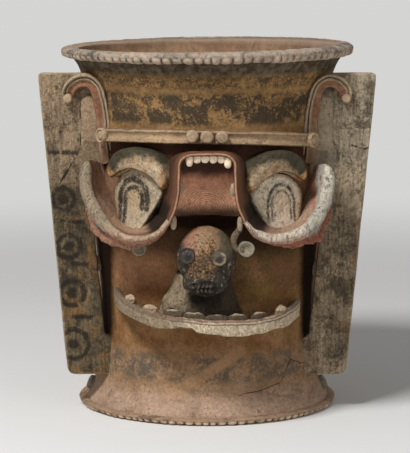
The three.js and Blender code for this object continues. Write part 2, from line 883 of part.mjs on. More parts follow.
function fangCurl() {
  const place = fangPlaces[1];
  const path = smoothThrough([
    [place.x - 8, place.z + 27],
    [place.x - 15, place.z + 18],
    [place.x - 17, place.z + 8],
    [place.x - 13, place.z],
    [place.x - 4, place.z - 1],
  ].map(([x, z]) => new THREE.Vector3(x, -(place.front - 6), z)), 8);
  const rings = path.map((point, i) => {
    const before = path[Math.max(i - 1, 0)];
    const after = path[Math.min(i + 1, path.length - 1)];
    const along = after.clone().sub(before).normalize();
    const across = new THREE.Vector3(-along.z, 0, along.x);
    const ring = [];
    for (let j = 0; j < 7; j++) {
      const angle = (j / 7) * 2 * Math.PI;
      const spot = point.clone().addScaledVector(across, fangCurlRadius * Math.cos(angle));
      ring.push(spot.add(new THREE.Vector3(0, fangCurlRadius * Math.sin(angle), 0)));
    }
    return ring;
  });
  const molar = upperTeeth.find(([name]) => name === 'molar_right');
  const cutters = [
    fangDiscSolid(place, seam), cheekSolid(place.side, seam), snoutSolid(seam), headSolid(seam),
    toothSolid(molar, seam),
  ];
  return fitted(toSolid(loft(rings)), cutters);
}

// Lower jaw.
function jawTop(x) {
  return jawHeight - jawTilt * x + jawUpturn * (x / jawHalfWidth) ** 4;
}

// Points round the half oval, evenly spaced by angle, set in from its edge.
function jawPoint(angle, inset) {
  const x = (jawHalfWidth - inset) * Math.sin(angle);
  const y = -(flangeFront + (jawReach - inset) * Math.cos(angle));
  return new THREE.Vector3(x, y, jawTop((x * jawHalfWidth) / (jawHalfWidth - inset)));
}

function jawBandSolid(gap) {
  const rings = [];
  for (let i = 0; i <= jawSteps; i++) {
    const angle = Math.PI * (i / jawSteps - 0.5) * 1.06;
    const outer = jawPoint(angle, -gap);
    const inner = jawPoint(angle, jawBandThickness + gap);
    const top = outer.z + gap;
    const bottom = top - jawBandWidth - 2 * gap;
    rings.push([
      inner.clone().setZ(bottom),
      outer.clone().setZ(bottom),
      outer.clone().setZ(top - 2),
      outer.clone().lerp(inner, 0.25).setZ(top),
      inner.clone().setZ(top),
    ]);
  }
  return toSolid(loft(rings));
}

function jawBand() {
  return fitted(jawBandSolid(0), [envelope(seam), behindFlange(sides[0]), behindFlange(sides[1])]);
}

function jawTraySolid(gap) {
  const rings = [];
  for (let i = 0; i <= jawSteps; i++) {
    const angle = Math.PI * (i / jawSteps - 0.5) * 0.96;
    const front = jawPoint(angle, jawBandThickness + seam - gap);
    const top = front.z - jawTrayDrop + gap;
    const back = new THREE.Vector3(front.x, -flangeFront, top);
    rings.push([
      back.clone().setZ(top - jawTrayThickness - 2 * gap),
      front.clone().setZ(top - jawTrayThickness - 2 * gap),
      front.clone().setZ(top),
      back,
    ]);
  }
  return toSolid(loft(rings));
}

function jawTray() {
  return fitted(jawTraySolid(0), [envelope(seam)]);
}

function jawTooth(place) {
  const inset = jawBandThickness / 2 + 1;
  const x = jawToothStart + place * jawToothSpacing;
  const angle = Math.asin(x / (jawHalfWidth - inset));
  const spot = jawPoint(angle, inset);
  const geometry = new THREE.SphereGeometry(1, 10, 6);
  geometry.scale(jawToothLength / 2, jawToothThickness / 2, jawToothRise);
  geometry.rotateZ(Math.atan2(jawReach * Math.sin(angle), jawHalfWidth * Math.cos(angle)));
  geometry.translate(spot.x, spot.y, spot.z);
  return fitted(toSolid(geometry), [jawBandSolid(seam), jawTraySolid(seam)]);
}

// Small head.
function headSolid(gap) {
  const skull = ellipsoid(headCentre, headRadii.clone().addScalar(gap), 20, 14);
  return skull.add(ellipsoid(muzzleCentre, muzzleRadii.clone().addScalar(gap), 14, 10));
}

function headEyeSolid(sign, gap) {
  const x = headCentre.x - headEyeShift + sign * headEyeSpread;
  const z = headCentre.z + headEyeRise - sign;
  const across = (x - headCentre.x) / headRadii.x;
  const up = (z - headCentre.z) / headRadii.z;
  const out = headRadii.y * Math.sqrt(Math.max(1 - across ** 2 - up ** 2, 0));
  const centre = new THREE.Vector3(x, headCentre.y - out, z);
  const radius = headEyeRadius + gap;
  return ellipsoid(centre, new THREE.Vector3(radius, radius * 0.8, radius), 12, 8);
}

function head() {
  return fitted(headSolid(0), [envelope(seam), snoutSolid(seam)]);
}

function headEye(sign) {
  return fitted(headEyeSolid(sign, 0), [headSolid(seam)]);
}

function bust() {
  const rings = [0, 0.35, 0.7, 1].map((share) => {
    const half = bustHalfWidth + (bustTopHalfWidth - bustHalfWidth) * share ** 0.8;
    const height = bustBottom + share * (bustTopHeight - bustBottom);
    const ring = [];
    for (let i = 0; i < 20; i++) {
      const angle = (i / 20) * 2 * Math.PI;
      const x = headCentre.x - bustShift + 2 * share + half * Math.cos(angle);
      ring.push(new THREE.Vector3(x, -(bustFront - bustDepth) + bustDepth * Math.sin(angle), height));
    }
    return ring;
  });
  return fitted(toSolid(loft(rings)), [envelope(seam), jawTraySolid(seam), headSolid(seam)]);
}

// Pellets.
function flankPellet(side) {
  const height = flankHeight - side.drop;
  const frame = wallFrame(side.sign * flankAngle, height, wallRadius(height) - 3);
  return fitted(disc(flankRadius, flankDepth + 3, frame), [envelope(seam)]);
}

function footPellet(side) {
  const height = (footFlareHeight + footNarrowHeight) / 2;
  const slope = Math.atan2(footFlareRadius - footNarrowRadius, footNarrowHeight - footFlareHeight);
  const frame = wallFrame(side.sign * footPelletAngle, height, wallRadius(height));
  frame.multiply(new THREE.Matrix4().makeRotationX(-slope));
  frame.multiply(new THREE.Matrix4().makeTranslation(0, 0, -4));
  return fitted(disc(footPelletRadius, footPelletDepth + 4, frame), [envelope(seam)]);
}

// Assembly.
const urn = new THREE.Group();

function place(name, shape, colour, roughness = 0.85) {
  const geometry = shape.isBufferGeometry ? shape : toGeometry(shape);
  const material = new THREE.MeshStandardMaterial({ color: colour, roughness, metalness: 0 });
  const mesh = new THREE.Mesh(geometry, material);
  mesh.name = name;
  urn.add(mesh);
}

place('floor_slab', floorSlab(), clay.orange);
place('foot_skirt', footSkirt(), clay.foot);
place('body_wall', wallCourse(footHeight + seam, cheekWallHeight - seam), clay.orange);
place('brow_wall', wallCourse(cheekWallHeight, bodyTop - seam), clay.orange);
place('neck_collar', neckCollar(), clay.neck);
place('rim_crust', rimBand(), clay.rim);
place('foot_crust', footBand(), clay.foot);
place('headband', headband(), slip.cream);
place('snout', snout(), slip.red);
place('palate', palate(), slip.red);
place('jaw_tray', jawTray(), clay.orange);
place('jaw_band', jawBand(), slip.cream);
place('small_head', head(), slip.dark);
place('small_head_bust', bust(), slip.grey);
place('fang_curl_right', fangCurl(), slip.grey);

sides.forEach((side) => {
  place(`flange_${side.name}`, flange(side), slip.grey);
  place(`crook_${side.name}`, crook(side), slip.cream);
  place(`crook_tip_${side.name}`, crookTip(side), slip.cream);
  place(`temple_strip_${side.name}`, templeStrip(side), slip.cream);
  place(`band_end_disc_${side.name}`, endDisc(side), slip.cream);
  place(`eyeball_${side.name}`, eyeball(side), slip.cream);
  place(`eyelid_${side.name}`, eyelid(side), slip.cream);
  place(`cheek_${side.name}`, cheek(side), slip.cream);
  place(`small_head_eye_${side.name}`, headEye(side.sign), slip.dark, 0.4);
  place(`flank_pellet_${side.name}`, flankPellet(side), slip.cream);
  place(`foot_pellet_${side.name}`, footPellet(side), slip.grey);
});

[-1, 0, 1].forEach((step) => place(`band_disc_${step + 2}`, bandDisc(step), slip.cream));
fangPlaces.forEach((spot) => place(`fang_disc_${spot.side.name}`, fangDiscPiece(spot), slip.grey));
upperTeeth.forEach((tooth) => place(tooth[0], upperTooth(tooth), slip.cream, 0.6));
for (let tooth = 0; tooth < jawToothCount; tooth++) {
  place(`jaw_tooth_${tooth + 1}`, jawTooth(tooth), slip.grey);
}

export default urn;
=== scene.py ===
# %% [markdown]
# # A fired clay urn with a gaping animal face
# The urn is a flaring cylinder with two flat side flanges. Strips and pellets of clay are pressed
# onto it to make the face: a headband, two eyes with heavy lids, a ribbon that forms the snout and
# the cheeks, a lower jaw, and a small head that looks out of the open mouth. All of it is worn,
# painted clay, so the lesson is about two things: hand-made surfaces, and layers of old paint.

# %% Load the frame
import itertools
import math

import bpy
import numpy as np
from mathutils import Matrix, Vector


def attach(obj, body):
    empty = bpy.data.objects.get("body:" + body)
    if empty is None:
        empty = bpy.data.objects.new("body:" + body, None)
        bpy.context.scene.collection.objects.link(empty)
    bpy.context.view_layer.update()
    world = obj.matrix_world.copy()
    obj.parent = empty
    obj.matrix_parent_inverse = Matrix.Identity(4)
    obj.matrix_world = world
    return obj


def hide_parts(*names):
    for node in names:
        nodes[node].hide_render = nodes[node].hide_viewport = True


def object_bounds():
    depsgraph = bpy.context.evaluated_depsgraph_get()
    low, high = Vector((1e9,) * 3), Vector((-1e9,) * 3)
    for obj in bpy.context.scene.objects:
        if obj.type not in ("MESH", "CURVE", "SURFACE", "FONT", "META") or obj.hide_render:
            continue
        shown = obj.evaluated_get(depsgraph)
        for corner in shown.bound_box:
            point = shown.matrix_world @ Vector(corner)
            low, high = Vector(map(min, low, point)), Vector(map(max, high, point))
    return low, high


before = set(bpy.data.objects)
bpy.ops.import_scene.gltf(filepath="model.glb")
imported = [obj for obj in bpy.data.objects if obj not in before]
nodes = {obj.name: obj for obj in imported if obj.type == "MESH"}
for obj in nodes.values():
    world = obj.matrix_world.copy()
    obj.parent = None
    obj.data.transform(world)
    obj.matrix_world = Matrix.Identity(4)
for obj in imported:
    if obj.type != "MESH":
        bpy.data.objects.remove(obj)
cad_box = [list(corner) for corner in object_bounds()]
MM = 0.001
BODY = "root"
SIDES = [(-1, "left"), (1, "right")]
print("CAD box in millimetres:", np.round(np.array(cad_box) / MM, 1).tolist())

# %% [markdown]
# ## The camera
# The rim and the foot are circles, so the shapes of their ellipses in the photograph give the
# height and the distance of the camera. It stands 3.2 m away, a little above the rim, and looks
# slightly down.

# %% Camera
CAMERA_SPOT = (-2.8 * MM, -3160 * MM, 682 * MM)
CAMERA_TILT = math.radians(7.87)
FOCAL_PIXELS, LONG_SIDE = 2281, 453


def put(name, data):
    """An object that shows the data, linked to the scene."""
    made = bpy.data.objects.new(name, data)
    bpy.context.scene.collection.objects.link(made)
    return made


lens = bpy.data.cameras.new("camera")
lens.sensor_width = 36
lens.lens = FOCAL_PIXELS * lens.sensor_width / LONG_SIDE
camera = put("camera", lens)
camera.location = CAMERA_SPOT
camera.rotation_euler = (math.pi / 2 - CAMERA_TILT, 0, 0)
bpy.context.scene.camera = camera
bpy.context.scene.view_settings.view_transform = "Standard"
print("focal length", round(lens.lens, 1), "mm")

# %% [markdown]
# ## Surfaces from numbers
# Every piece is a skin over rows of points. A row closes on itself, like a slice through the piece,
# and the rows follow each other along it. One helper joins the rows, so the rest of the lesson only
# says where the points lie. It also turns the faces outward, by the sign of the volume they
# enclose.

# %% Joining rows of points into a piece
def skin(rows, full_circle=False):
    """Quads between neighbouring rows (R, N, 3), each row closed; the first and last rows get a fan
    of triangles to their centre unless the rows themselves run full circle."""
    count, size = rows.shape[:2]
    start = np.arange(count if full_circle else count - 1)[:, None]
    here, there = start * size, (start + 1) % count * size
    around = np.arange(size)
    after = (around + 1) % size
    quads = np.stack([here + around, here + after, there + after, there + around], -1).reshape(-1, 4)
    points, faces = rows.reshape(-1, 3), quads.tolist()
    corners = np.concatenate([quads[:, [0, 1, 2]], quads[:, [0, 2, 3]]])
    if not full_circle:
        last, hub = (count - 1) * size, np.full(size, count * size)
        points = np.concatenate([points, rows[[0, -1]].mean(1)])
        fans = np.concatenate([np.stack([after, around, hub], -1),
                               np.stack([around + last, after + last, hub + 1], -1)])
        faces += fans.tolist()
        corners = np.concatenate([corners, fans])
    a, b, c = (points[corners[:, n]] for n in range(3))
    if np.einsum("ij,ij->", a, np.cross(b, c)) < 0:
        faces = [face[::-1] for face in faces]
    return points, faces


def mesh_object(name, points, faces, finish):
    """An object with a mesh in metres and one finish."""
    mesh = bpy.data.meshes.new(name)
    mesh.from_pydata(points.tolist(), [], faces)
    mesh.materials.append(finish)
    return put(name, mesh)


def piece(name, rows, replaced, finish, marks=None, full_circle=False):
    """A finished piece: its mesh, its marks for the paint, its finish and its place in the frame. The
    rows are in millimetres, no point may leave the CAD model's box, and replaced names the CAD
    nodes that it stands for, with spaces between them."""
    replaced = replaced.split()
    points, faces = skin(rows, full_circle)
    room = np.array(cad_box) + np.array([[0.05], [-0.05]]) * MM
    made = mesh_object(name, np.clip(points * MM, *room), faces, finish)
    made.data.polygons.foreach_set("use_smooth", np.ones(len(faces), bool))
    for key, mark in (marks or {}).items():
        values = [mark.reshape(-1)] + ([] if full_circle else [mark[[0, -1]].mean(1)])
        layer = made.data.attributes.new(key, "FLOAT", "POINT")
        layer.data.foreach_set("value", np.concatenate(values).astype(np.float32))
    made.data.update()
    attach(made, BODY)
    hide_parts(*replaced)


# %% [markdown]
# ## Hand-made unevenness
# Nothing on a hand-built pot is perfectly round or straight. A soft noise moves every point a
# little: random numbers sit at the corners of a lattice of cubes, and the ones around a point are
# blended. The same seed gives the same pot each time.

# %% Noise and curves
def unevenness(points, size, seed):
    """Value noise from -1 to 1: a hash of each lattice corner, blended by a cubic ease in x, y, z."""
    cell = points / size
    base = np.floor(cell).astype(np.int64)
    part = cell - base
    ease = part * part * (3 - 2 * part)
    total = np.zeros(points.shape[:-1])
    for corner in itertools.product((0, 1), repeat=3):
        key = base + np.array(corner)
        code = key[..., 0] * 73856093 ^ key[..., 1] * 19349663 ^ key[..., 2] * 83492791
        code = (code ^ seed * 2654435761) & 0xFFFFFFFF
        code = ((code ^ (code >> 13)) * 1274126177) & 0xFFFFFFFF
        code = code ^ (code >> 16)
        weight = np.prod(np.where(np.array(corner) == 1, ease, 1 - ease), axis=-1)
        total += weight * (code / 2147483648.0 - 1)
    return total


def handmade(rows, seed, *waves, apart=4):
    """Moves each point by noise in x, y and z, once for each wave: an amount and a size in mm."""
    for number, (amount, size) in enumerate(waves):
        shift = [unevenness(rows, size, seed + apart * number + n) for n in range(3)]
        rows = rows + amount * np.stack(shift, -1)
    return rows


def xyz(x, y, z):
    """The points that have these coordinates."""
    return np.stack(np.broadcast_arrays(x, y, z), -1)


def circle(count):
    """Angles at equal steps, once round."""
    return np.linspace(0, 2 * np.pi, count, endpoint=False)


def bent(value, power):
    """The power of a number's size, with its sign: below 1 it makes a round outline squarer."""
    return np.sign(value) * np.abs(value) ** power


def smoothstep(low, high, value):
    """Rises from 0 at low to 1 at high, flat at both ends."""
    t = np.clip((value - low) / (high - low), 0, 1)
    return t * t * (3 - 2 * t)


def unit(vectors):
    return vectors / np.linalg.norm(vectors, axis=-1, keepdims=True)


def smooth_path(points, count):
    """A spline through the points, with steps that grow as the root of the distance between them,
    read off at equal lengths."""
    p = np.asarray(points, float)
    p = np.concatenate([2 * p[:1] - p[1:2], p, 2 * p[-1:] - p[-2:-1]])
    step = np.linalg.norm(np.diff(p, axis=0), axis=1) ** 0.5
    t = np.linspace(0, 1, 40, endpoint=False)[:, None]
    pieces = []
    for n in range(1, len(p) - 2):
        before, here, after = step[n - 1:n + 2]
        chord = (p[n + 1] - p[n]) / here
        start = here * ((p[n] - p[n - 1]) / before - (p[n + 1] - p[n - 1]) / (before + here) + chord)
        end = here * (chord - (p[n + 2] - p[n]) / (here + after) + (p[n + 2] - p[n + 1]) / after)
        cubic = 2 * p[n] - 2 * p[n + 1] + start + end
        square = -3 * p[n] + 3 * p[n + 1] - 2 * start - end
        pieces.append(cubic * t ** 3 + square * t ** 2 + start * t + p[n])
    dense = np.concatenate(pieces + [p[-2:-1]])
    length = np.concatenate([[0], np.cumsum(np.linalg.norm(np.diff(dense, axis=0), axis=1))])
    even = np.linspace(0, length[-1], count)
    return np.stack([np.interp(even, length, column) for column in dense.T], -1)


def sideways(path):
    """The unit normals of a path in the plane of the face, square to its run."""
    along = unit(np.gradient(path, axis=0))
    return xyz(-along[:, 2], 0, along[:, 0])


def rounded(rows):
    """Cuts every corner of each closed row at a quarter of its edges, twice, which rounds it."""
    for _ in range(2):
        ahead = np.roll(rows, -1, axis=1)
        both = np.stack([0.75 * rows + 0.25 * ahead, 0.25 * rows + 0.75 * ahead], 2)
        rows = both.reshape(rows.shape[0], -1, *rows.shape[2:])
    return rows


def on_wall(degrees, height, radius, across=0, up=0, out=0):
    """Points in a frame that stands on the wall at an angle: across runs round the wall."""
    angle = np.radians(degrees)
    reach = radius + out
    return xyz(np.sin(angle) * reach + np.cos(angle) * across,
               -np.cos(angle) * reach + np.sin(angle) * across, height + up)


# %% [markdown]
# ## A small language for paint
# Old paint is sums and masks: where the slip is worn, the clay shows; where dirt lies, both darken.
# Those sums are written as plain expressions. The class below wraps one socket, and an expression
# on it adds the Math node that does it. Colours are never summed that way, because a Math node
# would turn them grey: they are laid over one another with Mix nodes, each layer where its mask
# says.

# %% The paint language
def clay_rgb(red, green, blue):
    """A colour as it looks, 0 to 255, as the linear light that a shader wants."""
    tone = np.array([red, green, blue]) / 255
    linear = np.where(tone <= 0.04045, tone / 12.92, ((tone + 0.055) / 1.055) ** 2.4)
    return (*linear.tolist(), 1.0)


class Wire:
    """One output socket of a finish."""

    def __init__(self, finish, socket):
        self.finish = finish
        self.socket = socket

    def math(self, operation, other=None, swap=False, clamp=False):
        values = [self] if other is None else [other, self] if swap else [self, other]
        settings = {"operation": operation, "use_clamp": clamp}
        return self.finish.node("ShaderNodeMath", settings, dict(enumerate(values)))

    def __add__(self, other): return self.math("ADD", other)
    def __radd__(self, other): return self.math("ADD", other, True)
    def __sub__(self, other): return self.math("SUBTRACT", other)
    def __rsub__(self, other): return self.math("SUBTRACT", other, True)
    def __mul__(self, other): return self.math("MULTIPLY", other)
    def __rmul__(self, other): return self.math("MULTIPLY", other, True)
    def __truediv__(self, other): return self.math("DIVIDE", other)
    def __abs__(self): return self.math("ABSOLUTE")

    def lower_of(self, other): return self.math("MINIMUM", other)
    def clamped(self): return self.math("ADD", 0.0, clamp=True)
    def root(self): return self.math("SQRT")

    def step(self, low, high):
        """0 at low, 1 at high, eased; low may be the larger one."""
        if low > high:
            return 1 - self.step(high, low)
        settings = {"interpolation_type": "SMOOTHSTEP"}
        return self.finish.node("ShaderNodeMapRange", settings, {0: self, 1: low, 2: high})

    def within(self, low, high, soft):
        """1 between low and high, with soft edges."""
        return self.step(low - soft, low + soft) * self.step(high + soft, high - soft)

    def ragged(self, amount, *noise):
        """The value, pushed up and down by a noise, so that the edge of a mask frays."""
        return self + (self.finish.noise(*noise) - 0.5) * amount


class Finish:
    """A material under construction: x, ahead and z are the front view's millimetres, with ahead
    counted towards the viewer, and colour, roughness and relief are what the shader will get."""

    def __init__(self, name):
        self.material = bpy.data.materials.new(name)
        self.material.use_nodes = True
        self.tree = self.material.node_tree
        self.tree.nodes.clear()
        self.place = self.node("ShaderNodeTexCoord", {}, {}, "Object")
        split = self.node("ShaderNodeSeparateXYZ", {}, {0: self.place}, None)
        self.x, self.ahead, self.z = (
            Wire(self, split.outputs[n]) * scale for n, scale in enumerate((1000, -1000, 1000)))

    def node(self, kind, settings, values, output=0):
        """Adds a node, sets its settings first, then its sockets, and gives back one output."""
        made = self.tree.nodes.new(kind)
        for key, value in settings.items():
            setattr(made, key, value)
        for key, value in values.items():
            if isinstance(value, Wire):
                self.tree.links.new(value.socket, made.inputs[key])
            else:
                made.inputs[key].default_value = value
        return made if output is None else Wire(self, made.outputs[output])

    def noise(self, size, seed, detail=6, rough=0.6, warp=0, place=None):
        """Cloudy noise, about 0.5 on average, with clouds of the given size in millimetres."""
        values = {"Vector": place or self.place, "W": seed, "Scale": 1000 / size, "Detail": detail,
                  "Roughness": rough, "Distortion": warp}
        return self.node("ShaderNodeTexNoise", {"noise_dimensions": "4D"}, values, "Fac")

    def stretched(self, x, y, z):
        """The object's own coordinates, squeezed along each axis by a factor."""
        return self.node("ShaderNodeMapping", {}, {"Vector": self.place, "Scale": (x, y, z)})

    def mark(self, name):
        return self.node("ShaderNodeAttribute", {"attribute_name": name}, {}, "Fac")

    def mix(self, share, first, second, blend="MIX"):
        """Blends two colours. One given as three numbers is a colour as it looks, 0 to 255."""
        first, second = (clay_rgb(*c) if isinstance(c, tuple) and len(c) == 3 else c
                         for c in (first, second))
        settings = {"data_type": "RGBA", "blend_type": blend}
        return self.node("ShaderNodeMix", settings, {0: share, 6: first, 7: second}, 2)

    def shade(self, colour, tone):
        """The colour times a tone: below 1 is darker, above 1 is lighter."""
        return self.mix(1.0, colour, tone, "MULTIPLY")

    def grainy(self, colour, grain, low=0.7):
        """The colour, darker where the grain is 0 and as much lighter where it is 1."""
        return self.shade(colour, low + (2 - 2 * low) * grain)

    def over(self, colour, *layers):
        """Layers over a colour, in order: each is a mask and the colour that it lets through."""
        for mask, paint in layers:
            colour = self.mix(mask, colour, paint)
        return colour

    def lay(self, *layers):
        self.colour = self.over(self.colour, *layers)

    def line(self, points, wander, half):
        """A crack drawn in the front view: the least distance to each stretch of the line, less half
        its width, made to wander by noise."""
        best = None
        shift = (self.noise(wander * 2.5, 9.7, 5) - 0.5) * wander
        for (x0, z0), (x1, z1) in itertools.pairwise(points):
            long_x, long_z = x1 - x0, z1 - z0
            away_x, away_z = self.x + shift - x0, self.z + shift - z0
            share = ((away_x * long_x + away_z * long_z) / (long_x ** 2 + long_z ** 2)).clamped()
            off_x, off_z = away_x - share * long_x, away_z - share * long_z
            reach = (off_x * off_x + off_z * off_z).root()
            best = reach if best is None else best.lower_of(reach)
        return best.step(half * 1.5, half * 0.6)

    def spot(self, x, z, half_x, half_z, seed, both=True, soft=(1.1, 0.3)):
        """1 inside a ragged oval round (x, z) in the front view; the size of x makes it two ovals."""
        off_x = ((abs(self.x) if both else self.x) - x) / half_x
        off_z = (self.z - z) / half_z
        return (off_x * off_x + off_z * off_z).ragged(0.8, 14, seed).step(*soft)

    def done(self, depth=0.4, specular=0.15):
        """Closes the finish: colour and roughness to the shader, relief in millimetres to its bump."""
        bump = self.node("ShaderNodeBump", {}, {"Strength": 1, "Distance": depth * MM,
                                                "Height": self.relief}, "Normal")
        values = {"Base Color": self.colour, "Roughness": self.roughness, "Normal": bump,
                  "Specular IOR Level": specular}
        shader = self.node("ShaderNodeBsdfPrincipled", {}, values, "BSDF")
        self.node("ShaderNodeOutputMaterial", {}, {"Surface": shader}, None)
        return self.material


# %% [markdown]
# ## Layers of worn slip
# Seen close, every surface of the urn has the same history. There is fired clay below, then a slip
# of fine coloured clay, worn through in patches, then soot and dirt in clouds and in fine specks,
# and last the pits and hairline cracks. One function tells that history, and each finish gives its
# colours and how much of each layer is left.

# %% The history of a surface
SOOT, DARK = (44, 38, 32), (24, 19, 14)


def weather(f, ground, slip, soot, cover, cloud, sooty, specks, seed):
    """Colour, roughness and relief of worn slip over clay. cover is how much slip is left, cloud the
    size of its patches in mm, sooty how much the soot takes, and specks how dense the dirt is."""
    broad = f.noise(70, seed + 1, 5)
    patch = f.noise(cloud, seed + 2, 10, 0.7, 0.3)
    fine = f.noise(4.5, seed + 3, 6, 0.75)
    grit = f.noise(2.7, seed + 4, 4, 0.7)
    mottle = f.noise(15, seed + 10, 7, 0.65, 0.3)
    left = 0.69 - 0.5 * cover
    worn = (patch + 0.3 * fine).step(left + 0.12, left - 0.05)
    cloudy = f.noise(34, seed + 5, 9, 0.68, 0.5) * 0.7 + f.noise(6, seed + 6, 7, 0.75) * 0.3
    dirt = 0.61 - 0.25 * sooty
    dense = 0.64 - 0.16 * specks
    dotted = (f.noise(3.2, seed + 7, 6, 0.8) + (mottle - 0.5) * 0.5).step(dense, dense + 0.1)
    flecks = f.noise(5.5, seed + 8, 8, 0.8).step(0.53, 0.66)
    scratches = f.noise(3.2, seed + 9, 3, 0.5, 0.4, f.stretched(1, 1, 0.18)).step(0.62, 0.7)
    base = f.mix(broad.step(0.35, 0.65), ground, f.mix(0.35, ground, slip))
    colour = f.over(base, (1 - worn, slip), (flecks * 0.32, f.shade(slip, (1.75, 1.75, 1.75, 1))),
                    (cloudy.step(dirt, dirt + 0.1) * 0.7, soot), (dotted * 0.6, soot))
    tone = 0.4 + 0.3 * grit.step(0.3, 0.7) + 0.4 * fine.step(0.3, 0.7)
    tone = tone + 0.28 * mottle.step(0.35, 0.65) + 0.22 * broad.step(0.3, 0.7)
    f.colour = f.shade(f.shade(colour, tone), 1 - 0.25 * scratches)
    f.relief = patch * 1.1 + fine * 0.9 + grit * 0.45 - dotted * 0.4 - worn * 0.35 - scratches * 0.25
    f.roughness = 0.7 + 0.16 * fine + 0.08 * worn


def plain_slip(name, ground, slip, soot, cover, cloud, sooty, specks, seed, depth):
    """Worn slip with nothing drawn on it."""
    f = Finish(name)
    weather(f, ground, slip, soot, cover, cloud, sooty, specks, seed)
    return f.done(depth)


# %% [markdown]
# ## The vessel's colours
# The vessel wears several zones, one above the other: a pinkish foot, an orange-tan body with the
# grey remains of a painted row near the foot, a red-slipped face, a brown hollow behind the mouth,
# black blotches above the headband, ochre with grey specks under the neck, and a sooty hollow
# moulding under the rim. The zones are masks in height, made ragged by noise, so they run round the
# whole pot.

# %% Vessel finish
MOUTH_WASHES = [
    (-108, 198, 22, 26, (180, 128, 100), 36), (-76, 170, 26, 20, (160, 108, 58), 37),
    (70, 172, 26, 26, (134, 108, 54), 38), (104, 196, 20, 30, (128, 84, 64), 39),
]
FOOT_CRACK = [(43, 36), (71, 41), (99, 47), (114, 77), (138, 63), (147, 46)]


def vessel_ground_and_slip(f, high, mouth, front):
    """The bare clay and the slip of each zone, from the foot up; the upper zones lie over."""
    foot, neck = f.z.step(110, 70) * 0.6, high.step(386, 396)
    right, brow = f.x.step(-70, 40), high.within(262, 384, 5) * front
    stain, cup = f.noise(36, 32, 7, 0.65, 0.4), f.spot(118, 304, 32, 50, 31) * front
    washes = [(f.spot(x, z, half_x, half_z, seed, False, (1.4, 0.2)) * mouth * 0.75, wash)
              for x, z, half_x, half_z, wash, seed in MOUTH_WASHES]
    clay = f.over(
        f.mix(f.noise(60, 4.4).step(0.4, 0.6), (152, 102, 58), (144, 108, 78)),
        (foot, (156, 124, 92)), (high.step(58, 24), (152, 116, 92)),
        (mouth, f.mix(right, (170, 120, 82), (110, 84, 54))),
        (mouth * f.z.step(190, 168), (150, 112, 62)),
        (mouth * stain.step(0.5, 0.6) * 0.7, (150, 100, 80)), *washes)
    # The brow's dark brown is partly its red-brown slip and partly painted shade under the headband.
    ground = f.over(clay, (brow, (90, 55, 40)), (cup, (150, 112, 84)), (neck, (178, 130, 76)))
    slip = f.over(
        f.mix(f.noise(45, 5.4).step(0.4, 0.6), (128, 92, 58), (150, 114, 78)),
        (foot, (156, 128, 102)), (high.step(52, 24), (170, 142, 120)),
        (mouth, f.mix(right, (148, 110, 80), (100, 76, 50))),
        (mouth * stain.step(0.48, 0.38) * 0.6, (116, 92, 54)), (mouth * 0.4, ground),
        (brow, (74, 48, 36)), (cup, (140, 108, 84)), (neck, (146, 114, 76)))
    return ground, slip


